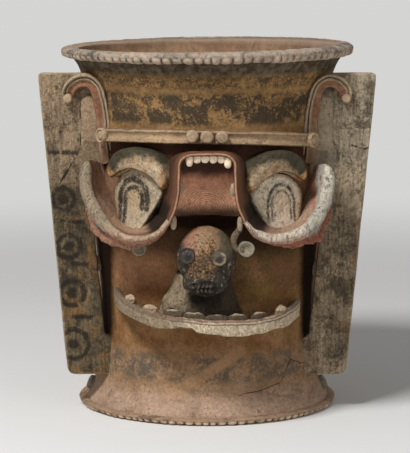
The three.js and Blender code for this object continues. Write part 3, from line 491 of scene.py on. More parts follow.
def vessel_finish():
    """Height picks the zone, and noise moves its border up and down."""
    f = Finish("vessel clay")
    wander = (f.noise(28, 3.1, 7, 0.65) - 0.5) * 34
    high = f.z + wander
    front, front_half = f.ahead.step(46, 70), f.ahead.step(20, 70)
    mouth = high.within(160, 262, 7) * front
    weather(f, *vessel_ground_and_slip(f, high, mouth, front), SOOT, 0.42, 20, 0.1, 0.35, 7)
    lace = f.noise(3, 22, 6, 0.78)

    ochre = f.z.within(388, 470, 3)
    streaks = f.noise(16, 40, 8, 0.75, 0.4, f.stretched(0.5, 0.5, 1.6))
    blots = (f.noise(27, 21.4, 9, 0.72, 0.6) + (lace - 0.5) * 0.65).step(0.41, 0.53)
    f.lay((streaks.step(0.52, 0.62) * ochre * 0.45, (104, 74, 44)),
          (streaks.step(0.46, 0.38) * ochre * 0.35, (190, 142, 88)),
          (f.noise(5, 35, 7, 0.8).step(0.54, 0.64) * ochre * 0.45, (190, 162, 118)),
          (blots * (f.z + wander * 0.35).within(401, 443, 5) * 0.88, (54, 51, 44)))

    swath = f.line([(-48, 36), (46, 96)], 9, 7)
    remains = (f.noise(22, 27, 9, 0.72, 0.6) + (lace - 0.5) * 0.8).step(0.44, 0.57) * (1 - swath)
    smudge = f.noise(44, 34, 8, 0.7, 0.6, f.stretched(0.6, 0.6, 1.2))
    f.lay((swath * front_half * 0.3, (176, 134, 100)),
          ((f.z + wander * 0.3).within(54, 90, 6) * remains * front_half * 0.85, (90, 83, 72)),
          (smudge.step(0.54, 0.64) * f.z.step(110, 60) * 0.4, (98, 80, 62)),
          (smudge.step(0.46, 0.38) * f.z.step(70, 40) * 0.5, (186, 160, 138)))

    specked = (f.noise(7, 24, 9, 0.8) + (lace - 0.5) * 0.8).step(0.44, 0.56) * f.z.within(450, 468, 5)
    sooty = f.mix(f.noise(9, 25, 8, 0.7).step(0.42, 0.62), (57, 51, 42), (104, 95, 80))
    # Painted shade: the wall seen through the slots beside the flanges, and the throat under the cheeks,
    # are painted near black.
    slot_shade = (abs(f.x) + wander * 0.2).step(122, 134) * f.z.within(98, 246, 12) * f.ahead.step(26, 44)
    throat_shade = (f.z + wander * 0.35).within(226, 290, 16) * (abs(f.x) + wander).step(160, 110) * front
    crack = f.line(FOOT_CRACK, 15, 0.42) * f.ahead.step(0, 9) * f.noise(18, 30, 5).step(0.36, 0.5)
    drips = f.noise(26, 26, 8, 0.7, 0.6, f.stretched(1, 1, 0.3)).step(0.5, 0.64)
    lining = f.over(f.mix(f.noise(24, 28, 8, 0.7).step(0.4, 0.6), (126, 98, 76), (148, 118, 92)),
                    (drips * 0.6, (84, 68, 52)), (f.z.step(470, 400) * 0.75, (60, 46, 34)))
    f.lay((specked * 0.8, (62, 55, 42)), (f.z.within(468, 488, 4) * 0.9, f.grainy(sooty, lace)),
          (slot_shade * 0.97, (22, 12, 6)), (throat_shade * 0.72, (30, 20, 14)),
          # Painted shade: the dark spot at x ±63 and z 281 is the nook beside the snout.
          (f.spot(63, 281, 24, 24, 29) * front * 0.9, (24, 15, 11)), (crack * 0.66, DARK),
          (f.mark("inner"), f.grainy(lining, lace)),
          (f.z.step(489, 495) * 0.6, f.grainy((166, 148, 130), lace, 0.6)))
    f.roughness = (f.roughness + slot_shade * 0.4).clamped()
    f.relief -= crack * 2
    return f.done(0.9, 0.05)


VESSEL = vessel_finish()
print("vessel finish has", len(VESSEL.node_tree.nodes), "nodes")

# %% [markdown]
# ## Foot, body and neck
# The vessel was coiled and scraped: foot, body and neck follow one outline. A lathe could turn it,
# but a numpy surface can carry the dents as well. The outline is a list of radii and heights,
# softened by a moving average; each slice through the wall at an angle is one closed row, and the
# rows run full circle. The lip is then tipped a little, as the real rim is.

# %% Outline and wall
WALL, LIP_INSIDE, LIP_RADIUS = 11.0, 8.0, 187.0
FLOOR_LEVEL = 0.05
LEAN_FROM, LEAN_SLOPE = 470, 0.0136
OUTLINE = np.array([
    (172, 0), (172, 9), (164, 20), (157.5, 33), (154.5, 46), (149.5, 110), (149.5, 165), (157.5, 240),
    (159.5, 405), (164.5, 440), (176, 465), (178.5, 474), (187, 484), (187, 500),
])
heights = np.arange(-30, 530.5, 0.5)
kernel = np.exp(-0.5 * (np.arange(-24, 25) / 8.0) ** 2)
raw = np.interp(heights, OUTLINE[:, 1], OUTLINE[:, 0])
soft_outline = np.convolve(np.pad(raw, 24, mode="edge"), kernel / kernel.sum(), mode="valid")


def wall_radius(height):
    """The wall's outer radius at a height, from the softened outline."""
    return np.interp(height, heights, soft_outline)


def leaned(rows):
    """Tips the lip: above a height, a point rises with its x, fully from 30 mm higher on."""
    tipped = rows.copy()
    tipped[..., 2] += LEAN_SLOPE * np.clip((rows[..., 2] - LEAN_FROM) / 30, 0, 1) * rows[..., 0]
    return tipped


def grounded(rows):
    """Lifts what lies under the floor onto it."""
    rows[..., 2] = np.maximum(rows[..., 2], FLOOR_LEVEL)
    return rows


def wall_rows(low, high, around, step):
    """Slices through the wall: up the outside, over and down the inside, at equal angles."""
    up = np.linspace(low, high, int((high - low) / step))
    down = np.linspace(high, low, len(up) // 3)
    up = np.concatenate([[low, low + 0.05], up[1:-1], [high - 0.05, high]])
    down = np.concatenate([[high, high - 0.05], down[1:-1], [low + 0.05, low]])
    thinner = np.interp(down, [0, 474, 495], [0, 0, 3.2])
    inside = np.where(down > 494, wall_radius(500) - LIP_INSIDE, wall_radius(down) - WALL + thinner)
    radius = np.concatenate([wall_radius(up), inside])
    angle = circle(around)[:, None]
    rows = xyz(radius * np.sin(angle), -radius * np.cos(angle),
               np.concatenate([up, np.minimum(down, 496.5)]))
    inner = np.concatenate([0 * up, 0 * down + 1])
    return rows, np.broadcast_to(inner, rows.shape[:2])


for name, low, high, step, replaced, slot in [
        ("urn_foot", 0.0, 46.0, 2.2, "foot_skirt", "foot_clay"),
        ("urn_body", 46.0, 440.0, 3.2, "body_wall brow_wall", "bare_clay"),
        ("urn_neck", 440.0, 500.0, 2.0, "neck_collar", "neck_soot")]:
    rows, inner = wall_rows(low, high, 300, step)
    rows = handmade(rows, 11, (0.9, 60), (0.16, 7))
    rows = grounded(rows) if low <= 0 else rows
    piece(name, leaned(rows), replaced, VESSEL, {"inner": inner}, True)
print("wall radius at the waist", round(float(wall_radius(140)), 1), "mm")

# %% [markdown]
# ## The pressed bands
# A strip of clay was laid round the rim and another round the foot, and pressed with a fingertip at
# even steps. Each press leaves a rounded lobe with a sharp valley beside it. The section of the
# strip is a flattened oval, and the absolute value of a cosine makes lobes with sharp valleys.

# %% Pressed bands
def band_finish(name, ground, slip, soot, crest, sooty, seed):
    """Worn slip, darker valleys (the mark hollow), and pale lobes (the mark lobe), which are partly
    rubbed slip and partly painted highlight.
    """
    f = Finish(name)
    weather(f, ground, slip, soot, 0.5, 14, sooty, 0.5, seed)
    stain = f.noise(40, seed + 22, 9, 0.7, 0.4)
    # The pale lobes are partly rubbed slip and partly a painted highlight on their crests.
    rubbed = f.mark("lobe").step(0.3, 0.7) * f.noise(16, seed + 20, 7, 0.7).step(0.36, 0.52)
    dark_valleys = f.mark("hollow").ragged(1.3, 9, seed + 19, 7, 0.75).step(0.4, 0.85)
    f.lay((stain.step(0.52, 0.6) * 0.55, soot), (stain.step(0.46, 0.4) * 0.45, (160, 124, 100)),
          (rubbed * 0.8, f.grainy(crest, f.noise(3, seed + 21, 5, 0.75))), (dark_valleys * 0.72, soot))
    return f.done(0.8)


def pressed_band(low, high, inside, outside, lobes, seed):
    """Rows of an oval section. Each angle has its lobe height; the press is full on the lower half and
    fades out towards the upper edge, and the lower edge rises between the lobes."""
    angle = circle(lobes * 12)[:, None]
    wobble = 0.6 * np.sin(5 * angle + seed) + 0.5 * np.sin(11 * angle) + 0.3 * np.sin(23 * angle)
    fate = 0.5 + 0.5 * unevenness(xyz(200 * np.sin(angle), 200 * np.cos(angle), 0), 19, seed)
    lobe = np.abs(np.cos(lobes * angle / 2 + wobble)) ** 0.5 * (0.55 + 0.45 * fate)
    turn = circle(28) - np.pi / 2
    round_out, rise = bent(np.cos(turn), 0.7), bent(np.sin(turn), 0.8)
    outward = np.clip(round_out, 0, 1)
    pressed = smoothstep(0.45, -0.15, rise)
    reach = (outside - inside - 4.6 * (1 - lobe) * pressed) * outward
    radius = inside + reach - 1.2 * np.clip(-round_out, 0, 1)
    height = (low + high) / 2 + rise * ((high - low) / 2 - np.where(rise < 0, 3.2, 0.4) * (1 - lobe))
    seam = 0.55 * np.exp(-((rise - 0.35) / 0.16) ** 2)
    marks = {"hollow": ((1 - lobe) * pressed + seam * fate) * outward ** 0.3, "lobe": lobe * pressed}
    return xyz(radius * np.sin(angle), -radius * np.cos(angle), height), marks


rows, marks = pressed_band(483.4, 500.2, LIP_RADIUS - 1, 202.4, 96, 41)
piece("rim_lobes", leaned(handmade(rows, 43, (0.7, 9))), "rim_crust",
      band_finish("rim clay", (130, 108, 92), (164, 148, 132), (50, 48, 46), (198, 174, 148), 0.4, 31),
      marks, True)
rows, marks = pressed_band(0.2, 10.2, 170.5, 180.4, 94, 52)
piece("foot_lobes", grounded(handmade(rows, 47, (0.5, 9))), "foot_crust",
      band_finish("foot band clay", (142, 110, 86), (160, 132, 108), (72, 56, 44), (222, 200, 172),
                  0.15, 37), marks, True)
print("rim band has 96 lobes, foot band has 94")

# %% [markdown]
# ## The side flanges
# Each flange is a flat slab, 15 mm thick, that stands in front of the vessel's axis. A long
# tapering slot parts it from the wall lower down. A slab with a changing outline is easy as a stack
# of rows: each row is a rounded rectangle that reaches from the wall, or the slot's edge, to the
# outer edge. Painted half rings and bars run down the left one. The mark named paint holds the
# distance to the nearest painted line, and the mark named crack the distance to the old break.

# %% Flange outline
FLANGE_FRONT, FLANGE_THICK = 75.0, 15.0
FLANGE_LOW, FLANGE_HIGH = 50.0, 465.0
FLANGE_TALL = FLANGE_HIGH - FLANGE_LOW
FLANGE_REACH, FLANGE_FLARE = 191.5, 38.0
FLANGE_CORNER, FLANGE_EDGE = 11.0, 2.6
RINGS = [(183, 92, 20), (185, 163, 17), (189, 228, 16), (196, 293, 15)]
BARS = [(160, 186, 204), (158, 186, 130), (168, 200, 262), (176, 216, 357)]
BREAKS = {-1: [(-172, 428), (-170, 395), (-172, 363), (-187, 336), (-204, 309)],
          1: [(196, 367), (214, 362), (228, 366)]}


def line_distance(x, z, line):
    """The shortest distance from each point to a line of points, segment by segment."""
    best = np.full(np.shape(x), 999.0)
    for (x0, z0), (x1, z1) in itertools.pairwise(line):
        along = (x - x0) * (x1 - x0) + (z - z0) * (z1 - z0)
        share = np.clip(along / ((x1 - x0) ** 2 + (z1 - z0) ** 2), 0, 1)
        best = np.minimum(best, np.hypot(x - x0 - share * (x1 - x0), z - z0 - share * (z1 - z0)))
    return best


def flange_rows(sign):
    """Rounded rectangles, stacked in height, with rounded ends and the outline's corners."""
    tip, top = FLANGE_LOW + 3, FLANGE_HIGH - 3
    height = np.concatenate([np.linspace(FLANGE_LOW, tip, 6)[:-1], np.linspace(tip, top, 250),
                             np.linspace(top, FLANGE_HIGH, 6)[1:]])[:, None]
    end = np.minimum(height - FLANGE_LOW, FLANGE_HIGH - height)
    corner = np.where(height > 250, 0.55, 1) * FLANGE_CORNER
    outer = FLANGE_REACH + FLANGE_FLARE * (height - FLANGE_LOW) / FLANGE_TALL
    outer = outer - corner + np.sqrt(corner ** 2 - np.clip(corner - end, 0, corner) ** 2)
    wall = np.sqrt(np.maximum(wall_radius(height) ** 2 - FLANGE_FRONT ** 2, 0)) - 5
    slot = 129.3 + 11 * smoothstep(97, 108, height) + 13 * np.clip((height - 108) / 135, 0, 1)
    inner = wall + (slot - wall) * smoothstep(94, 100, height) * smoothstep(247, 243, height)
    thin = FLANGE_EDGE - np.sqrt(FLANGE_EDGE ** 2 - np.clip(FLANGE_EDGE - end, 0, FLANGE_EDGE) ** 2)
    turn = np.linspace(0, np.pi / 2, 5)[1:-1]
    sine, cosine = np.sin(turn), np.cos(turn)
    flat, few, one, none = np.linspace(0, 1, 44), np.linspace(1, 0, 12), np.ones(3), np.zeros(3)
    share = np.concatenate([flat, one, one, few, none, none])
    bend = np.concatenate([0 * flat, sine, cosine, 0 * few, -sine, -cosine]) * FLANGE_EDGE
    inset = np.concatenate([0 * flat, 1 - cosine, 1 - sine, 0 * few, 1 - cosine, 1 - sine])
    in_front = np.concatenate([0 * flat, none, one, 0 * few + 1, one, none]) == 0
    low, high = inner + FLANGE_EDGE, outer - FLANGE_EDGE
    sunk = thin + inset * FLANGE_EDGE
    y = -np.where(in_front, FLANGE_FRONT - sunk, FLANGE_FRONT - FLANGE_THICK + sunk)
    rows = xyz(sign * (low + (high - low) * share + bend), y, height)
    return handmade(rows, 61 + sign, (0.7, 50), (0.2, 7))


def flange_marks(rows, sign):
    """Half rings at the outer edge with bars between them, and the break that runs across one flange."""
    x, z = rows[..., 0], rows[..., 2]
    reach = np.abs(x)
    paint = [np.full(x.shape, 99.0)]
    for centre_x, centre_z, radius in RINGS:
        away = np.hypot(reach - centre_x, z - centre_z)
        paint += [np.abs(away - radius) - 3.2, away - 7]
    for low, high, centre_z in BARS:
        paint.append(np.maximum(np.abs(reach - (low + high) / 2) - (high - low) / 2,
                                np.abs(z - centre_z) - 2.6))
    side_edge = FLANGE_REACH + FLANGE_FLARE - FLANGE_FLARE * (FLANGE_HIGH - z) / FLANGE_TALL - reach
    edge = np.minimum(side_edge, np.minimum(FLANGE_HIGH - z, z - FLANGE_LOW))
    return {"paint": np.minimum.reduce(paint), "crack": line_distance(x, z, BREAKS[sign]), "edge": edge}


# %% [markdown]
# The flanges are the dirtiest surfaces of the urn: the cream slip is speckled all over with soot,
# and lower down the left one is bare ochre clay. The drawn lines are greyish black and half rubbed
# away, so the mask of the lines is multiplied by noise.

# %% Flange finishes
def flange_finish(name, low_clay, high_slip, low_slip, dirt, line_strength, seed):
    """Speckled slip above, bare clay below, drawn lines, a dark thread along the break, and pale edges
    that are a painted highlight.
    """
    f = Finish(name)
    high = f.z.ragged(150, 60, seed, 7, 0.65)
    weather(f, f.mix(high.step(340, 200), (126, 104, 78), low_clay),
            f.mix(high.step(380, 250), high_slip, low_slip), (46, 40, 33), 0.5, 15, 0.5, 0.75, seed)
    cloud = f.noise(42, seed + 30, 9, 0.75, 0.4).step(0.48, 0.58)
    bare = f.noise(30, seed + 35, 8, 0.7).step(0.52, 0.6) * high.step(320, 240)
    f.lay((cloud * high.step(400, 320) * dirt, (48, 42, 34)),
          (bare * 0.5, f.grainy(low_clay, f.noise(3, seed + 36, 5, 0.75))))
    grain = f.noise(3.4, seed + 38, 5, 0.7, 0.2, f.stretched(1, 1, 0.12))
    f.colour = f.grainy(f.colour, grain.step(0.34, 0.62), 0.72)
    drawn = f.mark("paint").ragged(14, 7, seed + 31, 8, 0.75).step(2.2, -1.6)
    rubbed = f.noise(15, seed + 32, 8, 0.75).step(0.34, 0.5) * f.ahead.step(64, 70)
    crack = (f.mark("crack").ragged(6, 14, seed + 33, 5) + 0.2).step(1.5, 0.3)
    # The pale edges are a painted highlight along the slab's rounded rims.
    pale = f.mark("edge").ragged(7, 8, seed + 37, 7, 0.75).step(3, 0.4)
    f.lay((f.spot(156, 346, 22, 34, seed + 39) * 0.65, f.grainy(high_slip, grain, 0.75)),
          (drawn * rubbed * line_strength, (42, 37, 32)), (crack * 0.85, DARK),
          (pale * 0.6, (172, 152, 124)))
    f.relief = f.relief - crack * 2.2 + grain * 0.5
    return f.done(0.9)


FLANGES = {
    -1: flange_finish("flange slip left", (134, 98, 56), (140, 120, 96), (104, 90, 68), 0.6, 0.9, 51),
    1: flange_finish("flange slip right", (118, 92, 66), (152, 138, 116), (148, 130, 106), 0.36, 0.2,
                     57),
}
for sign, side in SIDES:
    rows = flange_rows(sign)
    piece(f"side_flange_{side}", rows, f"flange_{side}", FLANGES[sign],
          flange_marks(rows, sign))
print("flange rows and points:", rows.shape[:2])

# %% [markdown]
# ## The crooks
# A strap of clay climbs from the temple, bends over like a hook on each flange and ends in a
# pellet. Its outer edge was drawn up into a cream rim with a groove beside it; the inner part is a
# flat, red strip. It is one section carried along a curve: at each point of the path the section
# stands square to the path, in the flange's plane.

# %% Crook path and section
HOOK = [(188, 0, 431.5), (185, 0, 444.5), (174, 0, 454), (162, 0, 455.5), (151, 0, 447.5),
        (145, 0, 430.5), (141, 0, 405.5), (139, 0, 375.5), (136, 0, 343.5)]
# Across the strap, its rise over the flange, and how far the bend's bulge lifts that point.
STRAP = np.array([
    (-9.5, 0, 0), (-9.6, 0.36, 0.3), (-8.8, 0.58, 0.9), (-7, 0.64, 1), (-4, 0.6, 1), (-0.8, 0.56, 1),
    (0.4, 0.6, 1), (1.2, 0.76, 1), (2.4, 0.84, 1), (3.4, 0.8, 1), (4.2, 0.62, 1), (5, 0.74, 1),
    (6.2, 0.98, 1), (7.6, 1.04, 1), (8.8, 0.98, 0.9), (9.4, 0.8, 0.7), (9.6, 0.4, 0.3), (9.5, 0, 0)])


def crook_rows(sign):
    """A strap section with a raised rim, carried along the hook; the rim is highest at the bend."""
    path = smooth_path(HOOK, 110)
    share = np.linspace(0, 1, len(path))[:, None]
    bulge = 7 * np.sin(np.pi * np.clip(share * 1.6, 0, 1))
    tip = smoothstep(0, 0.05, share)
    across, rise, lifted = STRAP.T
    width = across * (0.8 + 0.2 * tip)
    spots = path[:, None] - sideways(path)[:, None] * width[..., None]
    spots[..., 1] = -(FLANGE_FRONT - 0.5 + rise * 16 * (0.75 + 0.25 * tip) + bulge * lifted)
    rows, mark = rounded(spots), rounded(np.broadcast_to(across / 9.5, width.shape))
    rows[..., 0] *= sign
    return handmade(rows, 71 + sign, (0.7, 20), (0.35, 5)), mark


def crook_finish():
    """Cream rim outside, a darkened groove, a red strip inside that fades to cream lower down, and
    painted shade along the strip's inner edge, where it meets the flange.
    """
    f = Finish("crook slip")
    across = f.mark("across")
    outer = across.ragged(0.3, 9, 80, 6, 0.7).step(-0.06, 0.1)
    red = f.mix(f.z.ragged(50, 20, 79, 6, 0.7).step(418, 372) * 0.75, (140, 98, 74), (158, 128, 102))
    weather(f, f.mix(outer, (112, 80, 60), (124, 100, 76)), f.mix(outer, red, (164, 144, 118)),
            (62, 50, 38), 0.5, 12, 0.15, 0.5, 81)
    groove = across.within(0.4, 0.48, 0.05) + across.within(-0.04, 0.04, 0.05) * 0.5
    broken = f.noise(12, 86, 7, 0.75).step(0.34, 0.56)
    ends = f.z.ragged(16, 12, 84, 7, 0.7).step(366, 352)
    # Painted shade: the strap's inner edge is darkened where it meets the flange.
    f.lay((f.noise(9, 83, 8, 0.78).step(0.5, 0.6) * 0.6, (168, 144, 118)),
          (groove * (0.2 + 0.5 * broken), (66, 50, 38)), (across.step(-0.8, -1) * 0.5, (70, 50, 36)),
          (ends * 0.85, f.grainy((128, 100, 76), f.noise(5, 85, 6, 0.7), 0.6)))
    return f.done(0.7)


CROOK = crook_finish()
for sign, side in SIDES:
    rows, across = crook_rows(sign)
    piece(f"hooked_strap_{side}", rows, f"crook_{side}", CROOK, {"across": across})
print("crook rows:", rows.shape[:2])

# %% [markdown]
# ## Strips beside the crooks
# Inside each hook lies a flat cream strip. It is the flange's own slip, standing a little proud,
# with a soft edge. Its top follows the bend of the hook.

# %% Temple strips
STRIP_LOW, STRIP_HIGH, STRIP_INNER, STRIP_OUTER = 349.8, 437.0, 143, 171


def temple_rows(sign):
    """Stacked rows from under the hook to a soft outer edge, narrowing at the top."""
    height = np.linspace(STRIP_LOW, STRIP_HIGH, 60)[:, None]
    above = height - STRIP_LOW + 0.2
    top = np.clip((height - 424) / 13, 0, 1)
    outer = STRIP_OUTER - 16 * (1 - np.sqrt(1 - top ** 2)) - 1.5 * smoothstep(352, STRIP_LOW, height)
    turn = circle(28)
    half = (outer - STRIP_INNER) / 2
    end = np.clip(np.minimum(above / 26, (STRIP_HIGH + 0.2 - height) / 6), 0, 1) ** 0.8
    sunk = 4.6 * (1 - np.clip(above / 20, 0, 1))
    y = -(FLANGE_FRONT + 0.5 - sunk + 4 * end * bent(np.sin(turn), 0.9))
    x = STRIP_INNER + half + half * bent(np.cos(turn), 0.8)
    return handmade(xyz(sign * x, y, height), 91 + sign, (0.3, 14))


TEMPLES = {
    -1: plain_slip("temple slip left", (134, 106, 80), (150, 127, 102), (58, 48, 36),
                   0.5, 18, 0.25, 0.6, 93, 0.8),
    1: plain_slip("temple slip right", (132, 112, 86), (158, 142, 118), (60, 52, 40),
                  0.6, 15, 0.25, 0.6, 97, 0.8),
}
for sign, side in SIDES:
    piece(f"temple_slip_{side}", temple_rows(sign), f"temple_strip_{side}", TEMPLES[sign])
print("temple strips stand 5 mm proud")

# %% [markdown]
# ## Pellets and discs
# Flattened balls of clay sit on the headband, on the tips of the crooks, beside the mouth, on the
# flanks and on the foot. Each is a stack of circles: a profile gives every circle's radius and its
# height over the seat, as shares of the pellet's size. The noise afterwards makes each one a little
# different.

# %% Pellet shape
PELLET = [(0.05, 0), (0.6, 0), (0.98, 0), (1, 0.12), (1, 0.5), (0.98, 0.68), (0.92, 0.84), (0.82, 0.94),
          (0.66, 0.99), (0.45, 1.0), (0.25, 1.0), (0.05, 1.0)]
RINGED = [(0.05, 0), (0.6, 0), (1, 0), (1, 0.55), (0.97, 0.85), (0.9, 0.97), (0.8, 0.97), (0.72, 0.85),
          (0.66, 0.62), (0.6, 0.6), (0.54, 0.78), (0.46, 0.92), (0.3, 1.0), (0.15, 1.0), (0.05, 1.0)]
DISHED = [(0.05, 0), (0.6, 0), (1, 0), (1, 0.55), (0.97, 0.88), (0.9, 0.98), (0.78, 0.9), (0.62, 0.7),
          (0.4, 0.55), (0.2, 0.5), (0.05, 0.5)]


def disc_rows(centre, degrees, radius, depth, seed, profile=PELLET, tilt=0.0, uneven=0.6):
    """Circles that face outward at an angle, tilted back by a slope, following a profile."""
    angle, lean = math.radians(degrees), math.radians(tilt)
    right = np.array([math.cos(angle), math.sin(angle), 0])
    out = np.array([math.sin(angle) * math.cos(lean), -math.cos(angle) * math.cos(lean), math.sin(lean)])
    turn = circle(44)[:, None]
    ring = np.cos(turn) * right + np.sin(turn) * np.cross(right, out)
    share, level = (np.array(column)[:, None, None] for column in zip(*profile))
    rows = np.asarray(centre) + radius * share * ring + depth * level * out
    return handmade(rows, seed, (uneven, 11), (uneven * 0.3, 3.5), apart=3)


def wall_disc(degrees, height, sunk, *shape):
    """A disc on the wall, with its back a few millimetres under the surface."""
    return disc_rows(on_wall(degrees, height, wall_radius(height) - sunk), degrees, *shape)


PELLETS = plain_slip("pellet slip", (140, 108, 80), (172, 148, 120), (66, 54, 42), 0.6, 9, 0.2, 0.5,
                     101, 0.7)
GREY_PELLETS = plain_slip("grey pellet slip", (104, 86, 66), (138, 128, 110), (52, 45, 37), 0.5, 9,
                          0.35, 0.6, 107, 0.9)
for sign, side in SIDES:
    tip = disc_rows((sign * 188, -75.3, 431.5), 0, 6.7, 17.8, 111 + sign, PELLET, 0, 0.4)
    flank = wall_disc(sign * 77, 196 - 3 * sign, 3, 11, 10, 121 + sign)
    seat = on_wall(sign * 85, 24.7, wall_radius(26.5) - 3)
    foot = disc_rows(seat, sign * 85, 10, 10.5, 131 + sign, PELLET, 26.6)
    piece(f"hook_pellet_{side}", tip, f"crook_tip_{side}", PELLETS)
    piece(f"flank_button_{side}", flank, f"flank_pellet_{side}", PELLETS)
    piece(f"foot_button_{side}", foot, f"foot_pellet_{side}", GREY_PELLETS)
for side, x, front, height in [("left", -90, 190, 242), ("right", 51.5, 208, 243.5)]:
    rows = disc_rows((x, 8 - front, height), 0, 10.5, 8, 141 + front, DISHED, 0, 1.1)
    piece(f"fang_button_{side}", rows, f"fang_disc_{side}", GREY_PELLETS)
print("pellets made")

# %% [markdown]
# ## The headband
# A strip of cream clay runs across the brow, from crook to crook, sagging towards its ends. Its two
# edges stand up and its middle is a shallow trough, with three pellets at the centre and one at
# each end. It is one section carried round the wall; the height along it is a gentle parabola.

# %% Headband
BAND_SWEEP = 58.0
DISC_STEP, DISC_REACH = 19.4, 175.5
BAND_SECTION = np.array([(-3, -9.2), (9, -9.3), (13.6, -9.2), (15.8, -7.8), (16, -6), (13.4, -3),
                         (12.6, 0), (13.4, 3), (16, 6), (15.8, 7.8), (13.6, 9.2), (9, 9.3),
                         (-3, 9.2)])


def band_height(degrees):
    """The strip's centre line: it drops with the square of the angle, and leans to one side."""
    share = degrees / BAND_SWEEP
    return 387 - 8 * share ** 2 - 3.5 * share


def headband_rows():
    """The section, rounded, at each angle round the brow."""
    out, up = rounded(BAND_SECTION[None])[0].T
    degrees = np.linspace(-BAND_SWEEP, BAND_SWEEP, 320)[:, None]
    height = band_height(degrees)
    rows = on_wall(degrees, height, wall_radius(height), 0, up, out)
    return handmade(rows, 151, (0.6, 18), (0.2, 5), apart=2), np.broadcast_to(up, rows.shape[:2])


def headband_finish():
    """Cream slip with dark lines in the trough and under the edges."""
    f = Finish("headband slip")
    slip = f.mix(f.noise(38, 167).step(0.4, 0.6), (172, 144, 112), (158, 132, 104))
    weather(f, (138, 104, 76), slip, (66, 54, 42), 0.62, 12, 0.2, 0.55, 161)
    edge = abs(f.mark("up").ragged(4, 9, 168))
    f.lay((edge.within(4.6, 5.4, 0.7) * 0.35, (84, 64, 46)), (edge.step(7.4, 9) * 0.6, (84, 66, 48)))
    return f.done(0.7)


rows, up = headband_rows()
piece("brow_band", rows, "headband", headband_finish(), {"up": up})
for place in (-1, 0, 1):
    degrees = math.degrees(place * DISC_STEP / DISC_REACH)
    button = wall_disc(degrees, band_height(degrees) + 1, -13.2, 8.7, 9, 171 + place)
    piece(f"brow_button_{place + 2}", button, f"band_disc_{place + 2}", PELLETS)
for sign, side in SIDES:
    degrees = sign * 53.7
    button = wall_disc(degrees, band_height(degrees), -12, 10.4, 9, 181 + sign, RINGED, 0, 0.5)
    piece(f"brow_end_{side}", button, f"band_end_disc_{side}", PELLETS)
print("headband carries five discs")

# %% [markdown]
# ## The eyes
# Each eye is a slightly domed plate on the wall, painted with dark arches round a pale centre. The
# plate is a stack of rings, from the rim to the crown. Each point knows how far it is from the
# painted arches, because that distance is worked out with numpy and kept as a mark, which the
# finish turns into a worn line. Beside the snout the plate is cut off, and the nook that is left is
# painted dark as painted shade.

# %% Eye plates
# The side, how much lower the eye sits, and how much higher its lid sits on it.
EYES = [(-1, "left", 0.0, 0.0), (1, "right", 6.0, 2.0)]
EYE_SIZE, EYE_ANGLE, EYE_HEIGHT, EYE_SHIFT = 41.0, 36.0, 301.0, 7
EYE_WIDE = {-1: 1.0, 1: 1.1}
EYE_LONG_BELOW, EYE_STANDS_OUT, EYE_CROWN = 1.3, 19, 11.2
EYE_SEAT = float(wall_radius(EYE_HEIGHT))


def arch(half_width, top, left_leg, right_leg, centre_x, centre_z):
    """The points of a painted arch: two legs and half an oval."""
    turn = np.linspace(np.pi, 0, 24)
    curve = np.stack([half_width * np.cos(turn), top * np.sin(turn)], -1)
    line = np.concatenate([[(-half_width, left_leg)], curve, [(half_width, right_leg)]])
    return line + (centre_x, centre_z)


ARCHES = {
    -1: [(arch(23, 25.5, -32, -13, 2, 2), 4.3), (arch(14.5, 14, -36, -12, 2, 2), 3.6)],
    1: [(arch(22, 26, -22, -24, -1, 0), 2.2), (arch(16, 17, -20, -20, -1, 0), 1.2)],
}


def eye_rows(sign, drop):
    """Rings of the plate in its own x, y and height over the wall, wider above than below, and how
    far each point lies from the arches, from the pupil, into the nook and towards the rim."""
    inward, turn = np.linspace(0.97, 0.02, 46), circle(200)
    share = np.concatenate([[1, 1, 1, 0.995, 0.985], inward])[:, None]
    level = np.concatenate([[-18, -2, 3, 5.4, 6.6], EYE_CROWN - 4 * inward ** 4])[:, None]
    off = share * EYE_WIDE[sign] * EYE_SIZE * (1 + 0.1 * np.sin(turn)) * np.cos(turn)
    long_below = np.where(np.sin(turn) < 0, EYE_LONG_BELOW, 1)
    x, y = off - sign * EYE_SHIFT, share * EYE_SIZE * long_below * np.sin(turn)
    level = level + EYE_STANDS_OUT * share ** 2 * np.clip(-np.sin(turn), 0, 1) ** 2
    nook = -0.87 * sign * off - 0.5 * y
    fall = smoothstep(29, 35, nook) * np.clip(level + 12, 0, 40)
    rows = on_wall(sign * EYE_ANGLE, EYE_HEIGHT - drop, EYE_SEAT, x, y, level - fall)
    rim_x = off / (1 + 0.1 * y / EYE_SIZE) / EYE_WIDE[sign]
    marks = {
        "arch": np.minimum(*(line_distance(x, y, line) - half for line, half in ARCHES[sign])),
        "pupil": np.hypot(x - 2, (y - 2) * 0.7),
        "nook": nook,
        "rim": np.hypot(rim_x, y / np.where(y < 0, EYE_LONG_BELOW, 1)) / EYE_SIZE,
    }
    return handmade(rows, 191 + sign, (0.8, 20), (0.18, 5)), marks


